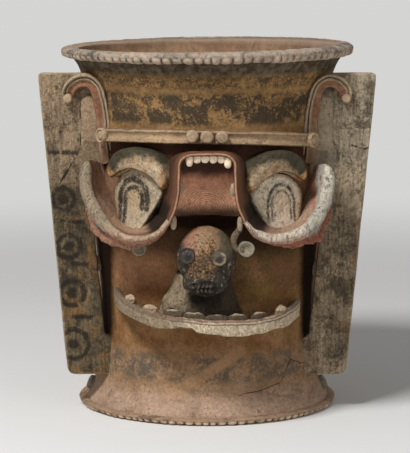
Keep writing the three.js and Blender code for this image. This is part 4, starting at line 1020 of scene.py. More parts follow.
def eye_finish(name, line_colour, slip, centre, seed):
    """Gritty cream slip with worn dark arches, paler along the edge, brown where it meets the cheek,
    a dark line at the rim that is heavier at the top as painted shade under the lid, and painted
    shade in the nook.
    """
    f = Finish(name)
    rim = f.mark("rim").ragged(0.1, 10, seed + 13, 6, 0.7)
    slip = f.over(slip, (f.mark("pupil").step(15, 9), centre), (rim.step(0.84, 0.92), (184, 164, 136)))
    weather(f, (150, 124, 96), slip, (60, 52, 42), 0.7, 10, 0.1, 0.7, seed)
    fray = f.noise(3.2, seed + 14, 6, 0.8) - 0.5
    drawn = (f.mark("arch").ragged(5, 9, seed + 11, 7, 0.7) + fray * 15).step(1.8, -1.6)
    rubbed = (f.noise(10, seed + 12, 8, 0.75) + fray * 0.7).step(0.32, 0.52)
    top = f.z.step(300, 318)
    cup = rim.step(0.8, 0.98) * (1 - top) * f.noise(12, seed + 16).step(0.35, 0.55)
    nook = f.mark("nook").ragged(5, 9, seed + 15)
    # Painted shade: the rim's dark line is heavier at the top, under the lid, and the nook beside the
    # snout is near black.
    f.lay((drawn * rubbed * 0.97, line_colour),
          (rim.step(0.955, 0.985) * (0.35 + 0.5 * top), (62, 46, 34)), (cup * 0.55, (138, 104, 78)),
          (nook.within(25, 29, 1) * 0.5, (196, 178, 150)),
          (nook.step(28.5, 31.5) * 0.95, (26, 17, 12)))
    f.relief -= drawn * 0.4
    return f.done(1.0)


EYE_TONES = {-1: [(52, 47, 40), (180, 162, 136), (184, 160, 128)],
             1: [(60, 54, 47), (222, 208, 184), (222, 202, 174)]}
for sign, side, drop, _ in EYES:
    rows, marks = eye_rows(sign, drop)
    finish = eye_finish(f"eye slip {side}", *EYE_TONES[sign], 201 + 20 * sign)
    piece(f"eye_plate_{side}", rows, f"eyeball_{side}", finish, marks)
print("eye plates stand", EYE_CROWN, "mm over the wall")

# %% [markdown]
# ## The lids
# A heavy crescent of clay hoods each eye. Its outer and its inner edge are two curves; each row of
# the surface is a section from one curve to the other, with rounded shoulders and a slight crown.
# The upper part is dark greenish, partly paint and partly painted shade under the headband, the
# lower part cream, and the two tips are bare ochre.

# %% Lids
LID_OUTER = [(-0.76, 0.68), (-0.85, 0.86), (-0.73, 1.32), (-0.39, 1.59), (0.1, 1.72), (0.68, 1.66),
             (1.2, 1.37), (1.51, 0.98), (1.55, 0.66), (1.44, 0.47)]
LID_INNER = [(-0.7, 0.66), (-0.51, 0.76), (-0.24, 0.91), (0.15, 0.97), (0.59, 0.88), (0.93, 0.71),
             (1.16, 0.5), (1.36, 0.42)]


def lid_rows(sign, drop, rise):
    """Sections from the outer to the inner curve. Shoulders are quarter circles, ends are rounded."""
    outer, inner = (smooth_path(curve, 150) * EYE_SIZE for curve in (LID_OUTER, LID_INNER))
    width = np.linalg.norm(inner - outer, axis=1, keepdims=True)
    bevel = np.minimum(4.5, width / 2.1)
    turn = np.linspace(0, np.pi / 2, 7)
    near = bevel * (1 - np.cos(turn))
    low = bevel * (1 - np.sin(turn))
    between = (width - 2 * bevel) * np.linspace(0, 1, 26)[1:-1]
    distance = np.concatenate([0 * width, near, bevel + between, width - near[:, ::-1], width], 1)
    fall = np.concatenate([bevel, low, 0 * between, low[:, ::-1], bevel], 1)
    share = distance / width
    path = np.linspace(0, 1, len(outer))[:, None]
    tip = np.clip(1 - np.minimum(path, 1 - path) * len(outer) / 9, 0, 1)
    level = 24 - fall + 1.5 * np.sin(np.pi * share) - 5 * share ** 2 - 6 * (1 - np.sqrt(1 - tip ** 2))
    level[:, [0, -1]] = -20
    spots = outer[:, None] + (inner - outer)[:, None] * share[..., None]
    rows = on_wall(sign * EYE_ANGLE, EYE_HEIGHT - drop, EYE_SEAT, -sign * spots[..., 0],
                   spots[..., 1] + rise, level)
    marks = {"share": share, "inner_edge": width - distance, "path": path + 0 * share}
    return handmade(rows, 211 + sign, (1.1, 22), (0.25, 6)), marks


def lid_finish(name, split, seed):
    """Dark greenish above, partly paint and partly painted shade, cream below, ochre tips, and an
    incised line near the inner edge.
    """
    f = Finish(name)
    path = f.mark("path").ragged(0.08, 18, seed + 12, 5)
    share = f.mark("share").ragged(0.9, 14, seed + 11, 9, 0.75) + (path - 0.5) * 1.1
    low = share.step(split - 0.22, split + 0.2)
    tips = (path.step(0.13, 0.09) + path.step(0.9, 0.95)).clamped()
    cream = f.mix(f.noise(16, seed + 14, 7, 0.7).step(0.45, 0.6), (190, 170, 140), (182, 144, 108))
    # The dark greenish upper part is paint that also stands in for the headband's shadow: partly painted
    # shade.
    slip = f.over((72, 66, 51), (low, cream), (tips, (186, 142, 92)))
    ground = f.over((104, 92, 68), (low, (140, 110, 82)), (tips, (160, 112, 64)))
    weather(f, ground, slip, (40, 36, 28), 0.6, 10, 0.15, 0.8, seed)
    line = f.mark("inner_edge").ragged(2, 12, seed + 13, 5).within(1.2, 2.4, 0.5)
    f.lay((line * 0.8, (36, 29, 22)))
    f.relief -= line * 1.2
    return f.done(0.9)


for sign, side, drop, rise in EYES:
    rows, marks = lid_rows(sign, drop, rise)
    finish = lid_finish(f"lid slip {side}", 0.38 if sign < 0 else 0.48, 221 + 9 * sign)
    piece(f"eye_lid_{side}", rows, f"eyelid_{side}", finish, marks)
print("lids hood the eyes")

# %% [markdown]
# ## The ribbon of the snout and the cheeks
# One slab of clay stands out from the wall: it makes the upper lip and the sides of the snout, then
# sweeps out under each eye and thickens to a roll. A torn web hangs under each cheek. Each row of
# the surface is a section through the ribbon, from its root in the wall to its rounded front edge.
# Two curves carry the sections, one through the front edge and one through the root. The marks say
# how far a point lies behind the front edge, and on which side of the ribbon it is.

# %% Ribbon sections
# Front x, drop below the lip's top, distance behind the snout's tip, root x and its drop, the
# roll's share, and the width of the torn web on the left and the right.
SNOUT_ROWS = [
    (0, 0, 0, 0, 10.5, 0, 0, 0), (26, 2.5, 1, 36, 11.5, 0, 0, 0), (35.5, 10.5, 2, 48, 18.5, 0, 0, 0),
    (37, 27.5, 5, 52, 31.5, 0, 0, 0), (38, 52.5, 8, 56, 55.5, 0, 0, 0),
    (42, 72.5, 12, 60, 75.5, 0, 0, 0), (49, 90.5, 16, 66, 93.5, 0, 0, 0),
]
CHEEK_ROWS = [
    (49, 90.5, 16, 66, 93.5, 0, 0, 0), (62, 106.5, 20, 76, 107.5, 0.05, 0, 0),
    (82, 115.5, 28, 91, 116.5, 0.15, 2, 0), (101, 116.5, 35, 105, 118.5, 0.3, 7, 0),
    (120, 110.5, 45, 118, 114.5, 0.5, 11, 0), (138, 98.5, 60, 129, 104.5, 0.75, 14, 4),
    (151, 81.5, 77, 137, 86.5, 0.95, 13, 16), (159.5, 62.5, 91, 142, 66.5, 1, 6, 14),
    (162, 44.5, 101, 144, 47.5, 1, 0, 0), (161, 27.5, 108, 145, 30.5, 0.85, 0, 0),
]
LIP_TOP, SNOUT_REACH = 372.5, 238.0
ROOT_CENTRE, ROOT_RADIUS, ROOT_HALF = 12, 157.5, 4
CUP_FILL = 15


def ribbon_rows(table, sign, drop, web_column, count):
    """Fourteen corners to a section, then the corners are cut twice to round it."""
    t = np.array(table, float)
    cheek = table is CHEEK_ROWS
    front = smooth_path(xyz(t[:, 0], t[:, 2] - SNOUT_REACH, LIP_TOP - t[:, 1]), count)
    root = smooth_path(xyz(t[:, 3], 0, LIP_TOP - t[:, 4]), count)
    steps = smooth_path(xyz(np.arange(len(t)), t[:, 5], t[:, web_column]), count)
    root[:, 1] = ROOT_CENTRE - np.sqrt(ROOT_RADIUS ** 2 - root[:, 0] ** 2)
    along = np.gradient(front, axis=0)
    normal = unit(xyz(along[:, 2], 0, -along[:, 0]))
    edge = 1.9 + np.clip(steps[:, 1:2], 0, 1) * 7.6
    tear = 0.6 * unevenness(front, 11, 231 + sign)[:, None] + 0.4 * unevenness(front, 4, 236)[:, None]
    web = np.clip(steps[:, 2:3], 0, 20) * (1.25 + 0.3 * tear)
    core = front + edge * (0, 1, 0)
    back = unit(root - core)
    neck = core + back * (edge + 3)
    behind_web = neck + back * 7
    halfway = (root + behind_web) / 2
    thin = np.minimum(4, edge + 1.5)
    forward = np.array([0, -1, 0])
    filled = CUP_FILL * np.sin(np.pi * np.linspace(0, 1, count))[:, None] ** 0.6 * cheek
    rows = np.stack([
        root - normal * (ROOT_HALF + filled), halfway - normal * (ROOT_HALF + 0.35 * filled),
        neck - normal * thin, core - normal * edge, core + edge * 0.72 * (forward - normal),
        core + edge * forward, core + edge * 0.72 * (forward + normal), core + normal * edge,
        neck + normal * thin, neck + normal * (thin + web), behind_web + normal * (4 + web),
        behind_web + normal * 4, halfway + normal * ROOT_HALF, root + normal * ROOT_HALF], 1)
    if cheek:
        left_over = np.clip((np.arange(count) - count + 13) / 12, 0, 1)[:, None, None]
        rows = core[:, None] + (rows - core[:, None]) * np.sqrt(1 - 0.97 * left_over ** 2)
        rows[..., 2:] += 6 * left_over ** 2
    side = np.array([-1, -1, -1, -1, -0.6, 0, 0.6, 1, 1, 1.6, 1.6, 1.2, 1, 1])
    side, path = np.broadcast_arrays(side, np.linspace(0, 1, count)[:, None])
    behind = np.einsum("rnk,rk->rn", rows - front[:, None], back)
    rows, side, behind, path = (rounded(values) for values in (rows, side, behind, path))
    rows[..., 2] -= drop * np.clip((rows[..., 0] - 100) / 60, 0, 1)
    return rows * (sign, 1, 1), {"side": side, "behind": behind, "path": path}


# %% [markdown]
# The snout is made as one piece from both halves, so its lip runs on without a seam. Its edge is
# pale pink, partly where the slip is worn off and partly as a painted highlight, and its sides are
# red-brown, darker towards the wall with painted shade.

# %% Snout
def snout_finish():
    """A pink edge, partly worn slip and partly a painted highlight, over red-brown sides with dirt,
    darkened towards the wall and in the nook by painted shade.
    """
    f = Finish("snout slip")
    behind = f.mark("behind").ragged(3, 14, 241, 7, 0.7)
    # The pale edge is kept to the very front of the lip: partly worn slip, partly a painted highlight.
    edge = behind.step(3, 0.8) * abs(f.mark("side") - 0.1).step(0.75, 0.3)
    sides = f.mix(f.mark("side").step(0.2, -0.4), (112, 76, 56), (104, 70, 50))
    weather(f, f.mix(edge, (92, 60, 44), (150, 106, 80)), f.mix(edge, sides, (172, 130, 104)),
            (46, 33, 25), 0.6, 13, 0.15, 0.45, 243)
    nook = f.spot(63, 282, 27, 28, 247)
    # Painted shade: the sides darken towards the wall, and the nook beside the snout is near black.
    f.lay((behind.step(12, 40) * 0.6, (48, 32, 23)), (nook * behind.step(7, 18) * 0.9, (24, 16, 12)))
    return f.done(0.8)


(left, left_marks), (right, right_marks) = (ribbon_rows(SNOUT_ROWS, sign, 0, 6, 130) for sign in (-1, 1))
marks = {key: np.concatenate([left_marks[key][:0:-1], right_marks[key]]) for key in ("side", "behind")}
rows = handmade(np.concatenate([left[:0:-1], right]), 251, (0.8, 20), (0.2, 5))
piece("snout_lip", rows, "snout", snout_finish(), marks)
print("snout rows:", rows.shape[:2])

# %% [markdown]
# The cheek rolls carry their own colours: cream outside, red on the slope that faces the eye, and a
# reddish, torn lower edge. The right one is bluish grey and scratched.

# %% Cheeks
def cheek_finish(name, front_slip, inside, cup, web, low_slip, pink, scratched, reach, seed):
    """Front slip on the roll, other paint towards the eye, pink along the lower edge, bare clay on the
    web. reach is how far the front slip runs into the cup on the outer half, in millimetres."""
    f = Finish(name)
    side = f.mark("side").ragged(0.8, 11, seed + 11, 7, 0.7)
    behind = f.mark("behind").ragged(8, 12, seed + 12)
    low = f.mark("path").ragged(0.12, 25, seed + 13, 5).step(0.56, 0.4)
    roll = f.mix(low, front_slip, f.mix(side.step(0.05, 0.4), low_slip, pink))
    start = (6 + reach * f.mark("path").step(0.5, 0.9)).ragged(8, 9, seed + 18, 7, 0.75)
    inner = side.step(-0.4, -0.9) * (behind - start).step(0, 5)
    slip = f.over(roll, (inner, f.mix((behind - start).step(14, 26), inside, cup)),
                  (side.step(1.1, 1.35), web))
    ground = f.mix(side.step(1.0, 1.3), f.mix(inner, (134, 106, 80), inside), web)
    weather(f, ground, slip, (56, 48, 40), 0.62, 10, 0.15, 0.55, seed)
    lines = f.noise(3, seed + 14, 4, 0.6, 0.3, f.stretched(0.9, 0.9, 0.14)).step(0.54, 0.64) * scratched
    flakes = f.noise(6, seed + 15, 8, 0.8).step(0.54, 0.6) * (1 - side.step(0.9, 1.2))
    rim_line = side.within(0, 0.12, 0.1) * low * f.noise(9, seed + 17).step(0.4, 0.55)
    f.lay((lines * (1 - inner), (78, 70, 60)), (flakes * 0.35, (204, 190, 170)),
          (rim_line * 0.6, (52, 40, 32)),
          # Painted shade: the dark spot is the nook beside the snout.
          (f.spot(63, 282, 27, 26, seed + 16) * inner * 0.95, (24, 16, 12)))
    f.relief = f.relief - lines * 0.8 + flakes * 0.4
    return f.done(1.1)


CHEEKS = {
    -1: cheek_finish("cheek slip left", (144, 128, 106), (134, 98, 74), (166, 132, 106), (146, 106, 86),
                     (184, 156, 130), (172, 130, 106), 0.5, 4, 261),
    1: cheek_finish("cheek slip right", (188, 180, 164), (194, 134, 110), (182, 150, 126),
                    (156, 100, 80), (206, 190, 170), (176, 138, 118), 0.7, 42, 281),
}
for sign, side, drop, _ in EYES:
    rows, marks = ribbon_rows(CHEEK_ROWS, sign, drop, 6 if sign < 0 else 7, 260)
    rows = handmade(rows, 301 + sign, (1.2, 22), (0.45, 5))
    piece(f"cheek_roll_{side}", rows, f"cheek_{side}", CHEEKS[sign], marks)
print("cheek rows:", rows.shape[:2])

# %% [markdown]
# ## The palate
# Between the snout's sides a hollow plate closes the mouth's roof. Fine ridges run across it in
# arcs. The plate is a grid of heights and widths: its depth grows downward and falls towards its
# edges, and a sine of the distance from the arcs' centre makes the ridges.

# %% Palate
PALATE_BEHIND, PALATE_THICK, RIDGE_STEP = 36, 9, 3.4


def palate_rows():
    """Rows in height, each closed by the same curve 9 mm further back."""
    height = np.linspace(284, 371.4, 190)[:, None]
    across = np.linspace(-1, 1, 110)
    recess = np.interp((373 - height) / 89, np.linspace(0, 1, 6), [0, 1, 3, 7, 15, 30])
    arched = 43 * np.sqrt(1 - np.clip((height - 348) / 23.5, 0, 0.999) ** 2)
    x = across * np.minimum(arched, np.interp(height, [284, 310, 348], [52, 50, 43]))
    away = np.hypot(x + 1, (height - 297) * 1.15)
    field = smoothstep(5, 9, away) * smoothstep(46, 26, away) * smoothstep(42, 34, np.abs(x))
    ridge = np.cos(2 * np.pi * away / RIDGE_STEP) * field
    depth = SNOUT_REACH - PALATE_BEHIND - recess + 12 * across ** 2 + 0.6 * ridge
    front, back = xyz(x, -depth, height), xyz(x, PALATE_THICK - depth, height)[:, ::-2]
    mark = np.concatenate([ridge, 0 * ridge[:, ::-2]], 1)
    return handmade(np.concatenate([front, back], 1), 311, (0.5, 16)), mark


def palate_finish():
    """Red-brown clay, paler lower down; painted shade darkens the grooves between the ridges, the top
    under the teeth and the bottom edge.
    """
    f = Finish("palate clay")
    slip = f.mix(f.z.step(345, 305), (180, 124, 96), (214, 162, 130))
    weather(f, (170, 116, 88), slip, (84, 54, 38), 0.6, 15, 0.15, 0.4, 321)
    height = f.z.ragged(16, 16, 331)
    # Painted shade: dark between the ridges, under the teeth at the top, and where the plate ends at the
    # bottom.
    f.lay((f.mark("ridge").step(0.1, -0.9) * 0.35, (100, 62, 44)),
          (height.step(332, 348) * 0.9, (30, 20, 15)), (height.step(303, 288) * 0.8, (30, 20, 15)))
    return f.done(0.6)


rows, ridge = palate_rows()
piece("mouth_roof", rows, "palate", palate_finish(), {"ridge": ridge})
print("palate grid:", rows.shape[:2])

# %% [markdown]
# ## Teeth
# The teeth are small lumps of clay, rolled between the fingers and pressed against the lip. A lump
# is a sphere with a squarer outline: the power of the sine and cosine says how square.

# %% Lumps of clay
def lump_rows(centre, radii, seed, square=0.8, uneven=0.5, turned=0.0, fine=26):
    """Circles of latitude with the sine and cosine raised to a power, turned about the upright."""
    high = np.linspace(-np.pi / 2 + 0.1, np.pi / 2 - 0.1, fine)[:, None]
    turn = circle(fine + 8)
    x = radii[0] * bent(np.cos(high), square) * bent(np.cos(turn), square)
    y = radii[1] * bent(np.cos(high), square) * bent(np.sin(turn), square)
    spun = xyz(x * math.cos(turned) - y * math.sin(turned), x * math.sin(turned) + y * math.cos(turned),
               radii[2] * bent(np.sin(high), square))
    return handmade(spun + np.asarray(centre), seed, (uneven, 9), (uneven * 0.35, 3), apart=3)


# Name, x, distance behind the snout's tip, drop below the lip's top, and the three half sizes.
UPPER_TEETH = [
    ("canine_left", -23, 9, 9.5, (4.8, 4.2, 8)), ("incisor_left_outer", -13, 9, 6.5, (5.2, 3.6, 6.6)),
    ("incisor_left_inner", -2.5, 9, 6.5, (5.3, 3.6, 6.4)),
    ("incisor_right_inner", 8, 9, 6.5, (5.3, 3.6, 6.6)),
    ("incisor_right_outer", 18, 9, 7, (5.0, 3.6, 6.4)), ("canine_right", 27, 9, 11.5, (4.8, 4.2, 8.5)),
    ("side_tooth_left", -34, 22, 46.5, (4, 5, 8)), ("side_tooth_right", 34, 22, 49.5, (3.6, 5, 9)),
    ("molar_left", -44, 33, 93.5, (4.2, 5, 9.5)), ("molar_right", 43, 33, 95.5, (3.6, 5, 9.5)),
]
TOOTH = plain_slip("tooth slip", (190, 158, 128), (228, 208, 180), (96, 74, 54), 0.75, 6, 0, 0.3,
                   331, 0.4)
GREY_TOOTH = plain_slip("grey tooth slip", (128, 104, 82), (168, 150, 126), (60, 48, 38), 0.55, 7, 0.2,
                        0.6, 337, 0.7)
for number, (name, x, behind, drop, radii) in enumerate(UPPER_TEETH):
    rows = lump_rows((x, behind - SNOUT_REACH, LIP_TOP - drop), radii, 341 + number * 7)
    piece(f"tooth_{name}", rows, name, TOOTH if number < 6 else GREY_TOOTH)
print(len(UPPER_TEETH), "upper teeth")

# %% [markdown]
# ## The curled fang
# On the right a thin roll of clay curls from the cheek to its disc. It is a tube: circles carried
# along a hooked path.

# %% Fang
CURL = [(43.5, -202, 270.5), (36.5, -202, 261.5), (34.5, -202, 251.5), (38.5, -202, 243.5),
        (47.5, -202, 242.5)]
CURL_RADIUS = 4.0

curl = smooth_path(CURL, 70)
turn = circle(20)[:, None]
across = sideways(curl)
upright = np.cross(unit(np.gradient(curl, axis=0)), across)
tube = curl[:, None] + CURL_RADIUS * (np.cos(turn) * across[:, None] + np.sin(turn) * upright[:, None])
# The fang's dark brown is partly its clay and partly painted shade.
SHADED_FANG = plain_slip("fang slip", (82, 64, 50), (116, 98, 80), (40, 33, 27), 0.45, 9, 0.35, 0.6, 353, 0.9)
rows = handmade(tube, 351, (0.7, 10), (0.28, 4), apart=3)
piece("fang_roll", rows, "fang_curl_right", SHADED_FANG)
print("fang curl is", round(float(np.linalg.norm(np.diff(curl, axis=0), axis=1).sum())), "mm long")

# %% [markdown]
# ## The lower jaw
# A half oval of clay juts out under the mouth, edged by a band that carries eight lumpy teeth. The
# band is one section carried round the half oval; it climbs towards its ends, and a piece of its
# lower edge has broken off on the left.

# %% Jaw band
JAW_WIDE, JAW_DEEP, JAW_CENTRE, JAW_TOP = 127.0, 150.0, 75, 153
BAND_DEEP, CHIP_DEEP = 19.8, 6.5


def jaw_point(angle, inset):
    """A point of the half oval at an angle from straight ahead, set in from its edge."""
    rim = JAW_WIDE * np.sin(angle)
    return xyz((JAW_WIDE - inset) * np.sin(angle), -(JAW_CENTRE + (JAW_DEEP - inset) * np.cos(angle)),
               JAW_TOP - 0.06 * rim + 12 * (rim / JAW_WIDE) ** 4)


def jaw_band_rows():
    """A rounded upright section, 9 mm thick, at each angle; level counts down from its upper edge."""
    angle = np.linspace(-0.53, 0.53, 330)[:, None] * np.pi
    x = JAW_WIDE * np.sin(angle)
    chip = smoothstep(-10, -22, x) * (1 - 0.9 * smoothstep(-34, -52, x))
    deep = BAND_DEEP - CHIP_DEEP * chip + 1.4 * unevenness(xyz(x, 0, 0), 13, 363)
    inset = np.array([9, 4.5, 1.2, 0, 0, 0, 0.6, 2.4, 5.5, 9, 9])
    level = deep * np.array([1, 1, 1, 0.93, 0.6, 0.25, 0.06, 0, 0, 0.04, 0.5])
    rows = jaw_point(angle, inset)
    rows[..., 2] -= level
    rows, level, inset = (rounded(v) for v in (rows, level, np.broadcast_to(inset, level.shape)))
    return handmade(rows, 361, (1.0, 22), (0.5, 5)), {"level": level, "inset": inset}


def jaw_finish():
    """Cream slip with a thin red line under the upper edge, a painted highlight and painted shade that
    draw a ridge, and a darker inside.
    """
    f = Finish("jaw band slip")
    slip = f.mix(f.x.step(-60, -10), (152, 134, 110), (216, 196, 166))
    weather(f, (116, 94, 70), slip, (60, 49, 38), 0.55, 12, 0.2, 0.6, 371)
    crust = f.noise(10, 383, 8, 0.78, 0.5).step(0.48, 0.6)
    level = f.mark("level").ragged(2, 8, 381, 5)
    thread = level.within(0.8, 2.6, 0.6) * f.x.step(-96, -60) * f.noise(22, 382, 5).step(0.32, 0.46)
    # The ridge is a painted highlight with no ridge in the shape, and the dark line under it is its
    # painted shade.
    ridge = level.within(3.2, 4.6, 0.6) * f.x.step(-40, 0) * f.noise(26, 384, 5).step(0.34, 0.46)
    f.lay((crust * 0.35, (214, 194, 164)), (level.step(6.8, 5.6) * 0.5, (112, 88, 72)),
          (thread * 0.65, (142, 96, 80)), (ridge * 0.75, (232, 206, 184)),
          (level.within(5.4, 6.8, 0.6) * f.x.step(-70, -30) * 0.6, (78, 58, 44)),
          (f.mark("inset").step(3, 7) * 0.6, (74, 58, 42)))
    f.relief += crust * 0.6
    return f.done(1.5)


rows, marks = jaw_band_rows()
piece("jaw_edge", rows, "jaw_band", jaw_finish(), marks)
print("jaw band rows:", rows.shape[:2])

# %% [markdown]
# The teeth in the middle are dark with a pale crest, partly pale slip and partly painted highlight.
# The outer three are coiled lumps of the band's own slip: a cosine of the distance from each coil's
# centre presses the coil in.

# %% Jaw teeth
OUTER_TEETH = (0, 1, 7)
TOOTH_STEP, FIRST_TOOTH = 29, -104


def jaw_tooth_finish(name, ground, slip, crest_low, seed):
    """Dark clay with a pale crest along the top, partly pale slip and partly painted highlight."""
    f = Finish(name)
    weather(f, ground, slip, (42, 33, 25), 0.55, 8, 0.15, 0.7, seed)
    crest = f.mark("crest").ragged(0.9, 6, seed + 11, 7, 0.75).step(crest_low, crest_low + 0.3)
    f.lay((crest * 0.85, f.grainy((192, 170, 142), f.noise(3, seed + 12, 5))))
    return f.done(0.8)


JAW_TOOTH = jaw_tooth_finish("jaw tooth clay", (66, 54, 42), (82, 70, 56), 0.66, 391)
OUTER_TOOTH = jaw_tooth_finish("outer tooth slip", (96, 76, 58), (136, 116, 92), 0.3, 397)
for number in range(8):
    outer = number in OUTER_TEETH
    finish, size, inset, uneven, coiled = (
        (OUTER_TOOTH, (12.5, 6.0, 8.6), 6.5, 1.5, 1.3) if outer else
        (JAW_TOOTH, (15.2, 5.0, 8.2), 7.5, 1.3, 0.2))
    angle = math.asin((TOOTH_STEP * number + FIRST_TOOTH) / (JAW_WIDE - 5.5))
    turned = math.atan2(JAW_DEEP * math.sin(angle), JAW_WIDE * math.cos(angle))
    centre = jaw_point(angle, inset) + (0, 0, -0.5)
    rows = lump_rows(centre, size, 401 + number * 5, 0.85, uneven, turned, 48)
    crest = (rows[..., 2] - centre[2]) / 8.6
    coil = np.hypot(rows[..., 0] - centre[0] - 1, rows[..., 2] - centre[2] - 3)
    rows[..., 1] -= coiled * np.cos(2 * np.pi * coil / 5.2) * smoothstep(-0.4, 0.2, crest)
    piece(f"jaw_lump_{number + 1}", rows, f"jaw_tooth_{number + 1}", finish,
          {"crest": crest})
print("eight jaw teeth, of which", len(OUTER_TEETH), "are coiled")

# %% [markdown]
# ## The small head
# A small skull-like head looks out of the mouth: a domed forehead, two round goggle eyes, a muzzle
# with bared teeth, and a cone-shaped bust. The head is one closed surface seen from its own centre:
# in each direction its reach is the larger of two ellipsoids, blended, and hollows are pressed in
# for the eye sockets, the nostrils and the mouth.

# %% Head surface
HEAD, SKULL = np.array([-1.0, -191.0, 230.0]), np.array([39.5, 40.0, 42.5])
MUZZLE, MUZZLE_SIZE = np.array([-3.0, -215.0, 201.0]), np.array([30.0, 21.0, 20.0])


def far_side(direction, centre, radii):
    """How far a ray from the head's centre runs before it leaves an ellipsoid; 0 where it misses."""
    start, step = (HEAD - centre) / radii, direction / radii
    a, b = np.sum(step * step, -1), np.sum(start * step, -1)
    under = b * b - a * (np.sum(start * start) - 1)
    return np.where(under > 0, (-b + np.sqrt(np.maximum(under, 0))) / a, 0)


def head_rows():
    """Rays in all directions, with a soft maximum of the two reaches, and the features pressed in."""
    high = np.linspace(-np.pi / 2 + 0.03, np.pi / 2 - 0.03, 220)[:, None]
    turn = circle(300)
    direction = xyz(np.cos(high) * np.sin(turn), -np.cos(high) * np.cos(turn), np.sin(high))
    first, second = far_side(direction, HEAD, SKULL), far_side(direction, MUZZLE, MUZZLE_SIZE)
    soft = np.log(np.exp(first / 2.2) + np.exp(second / 2.2)) * 2.2 - 0.4
    x, y, z = np.moveaxis(HEAD + direction * soft[..., None], -1, 0)
    front = smoothstep(-195, -205, y)
    socket = sum(np.exp(-((x - cx) ** 2 + (z - cz) ** 2) / 150)
                 for cx, cz in [(-25.5, 237), (15.5, 235)])
    nose = np.exp(-((x + 4) ** 2 / 26 + (z - 219) ** 2 / 60))
    nostril = sum(np.exp(-((x - cx) ** 2 + (z - 215.5) ** 2) / 4.5) for cx in (-8, 0))
    upper = np.exp(-((z - 204) / 3) ** 2) * smoothstep(22, 18, np.abs(x + 3))
    teeth = sum(np.exp(-((z - cz) / 3.2) ** 2) for cz in (198, 190.5))
    teeth = teeth * smoothstep(13, 11, np.abs(x + 3.5))
    gaps = np.abs(np.sin((x + 3.5 + 0.9 * np.sin(z * 0.4)) * np.pi / 5.2)) ** 0.5
    mouth = np.exp(-((x + 3 + 1.5 * np.sin(z * 0.7)) / 19) ** 2 * 1.2 - ((z - 194) / 12) ** 4)
    cheek = sum(np.exp(-((x - cx) ** 2 / 50 + (z - 213 - 0.25 * (x - cx)) ** 2 / 9)) for cx in (-24, 18))
    press = (-3.0 * socket + 3.5 * nose - 2.6 * nostril + 1.2 * upper - 5.0 * mouth + 5.2 * teeth * gaps
             + 1.6 * cheek)
    rows = HEAD + direction * (soft + front * press)[..., None]
    marks = {"mouth": mouth * front * (1 - teeth.clip(0, 1) * gaps), "teeth": teeth * gaps * front,
             "socket": socket * front}
    rough = handmade(rows, 441, (0.9, 16), (0.25, 4))
    rough[..., 1] -= 1.5 * unevenness(rows, 4.5, 447) * smoothstep(222, 208, z) * front
    return rough, marks


def head_finish():
    """Orange-tan dome, greenish grey on the right, crackled between the eyes, black round the mouth,
    and painted shade in the eye sockets and the mouth.
    """
    f = Finish("small head clay")
    right = f.x.ragged(26, 20, 451, 7, 0.65).step(4, 24)
    left = f.x.ragged(16, 20, 456, 7, 0.65).step(-24, -36)
    low = (f.z.ragged(18, 14, 452, 7, 0.7) - abs(f.x + 1) * 0.7).step(224, 206)
    slip = f.over(f.mix(f.x.step(-4, -24), (150, 120, 90), (158, 116, 92)), (right, (92, 82, 62)),
                  (left * f.z.step(262, 244), (50, 44, 39)), (low, (50, 42, 34)))
    weather(f, f.mix(low, (140, 104, 74), (54, 44, 34)), slip, (34, 27, 21), 0.62, 9, 0.15, 0.7, 453)
    lean = (f.x + 1 - (f.z - 236) * 0.38).ragged(12, 8, 457, 7, 0.7)
    wedge = abs(lean) - ((262 - f.z) * 0.57).lower_of(17)
    patch = wedge.step(2, -1) * f.z.step(208, 213)
    crackle = f.noise(2.8, 458, 5, 0.8).ragged(0.4, 9, 455, 5).step(0.46, 0.55)
    warm = f.mix(f.noise(8, 454).step(0.4, 0.6), (160, 116, 76), (184, 142, 98))
    crust = f.noise(6, 459, 8, 0.8).step(0.52, 0.58) + f.noise(3, 450, 6, 0.8).step(0.6, 0.66)
    crust = crust.clamped() * low
    bared = f.mark("teeth").step(0.5, 0.85) * f.noise(4, 460, 6, 0.7).step(0.42, 0.52)
    f.lay((patch * 0.8, f.mix(crackle, warm, (36, 28, 21))),
          (crust * 0.8, f.grainy((168, 148, 118), f.noise(3, 449, 4), 0.5)),
          # Painted shade: the eye sockets and the mouth's hollow are painted near black.
          (f.mark("socket").step(0.35, 0.8) * 0.85, (32, 26, 22)),
          (f.mark("mouth").step(0.2, 0.6) * 0.95, (18, 13, 10)), (bared * 0.7, (108, 86, 64)))
    f.roughness -= 0.1
    f.relief = f.relief - patch * crackle * 0.7 + crust * 1.2
    return f.done(1.2, 0.3)


rows, marks = head_rows()
piece("little_head", rows, "small_head", head_finish(), marks)
print("head surface:", rows.shape[:2])

# %% [markdown]
# The eyes are two balls that stand out of the sockets, each with a pale ring round it: burnished on
# the left, crusted on the right.

# %% Goggle eyes
GOGGLE = 10.5


def goggle_finish(name, ground, slip, ring_colour, ring_share, centre_x, seed, gloss):
    """A dark ball with a pale, broken ring; the mark ring is the distance from its front in radii."""
    f = Finish(name)
    weather(f, ground, slip, (24, 20, 18), 0.6, 6, 0.2, 0.6, seed)
    ring = f.mark("ring").ragged(0.6, 5, seed + 11, 7, 0.8)
    low = (f.x - centre_x - (f.z - 236)).ragged(16, 7, seed + 12, 5).step(-6, 5)
    broken = low * f.noise(6, seed + 13, 6, 0.75).step(0.36, 0.48)
    f.lay((ring.within(0.6, 0.86, 0.09) * broken * ring_share, ring_colour),
          (ring.step(0.42, 0.3) * 0.75, (28, 24, 24)))
    f.roughness -= gloss
    f.relief += broken
    return f.done(0.9, 0.35)


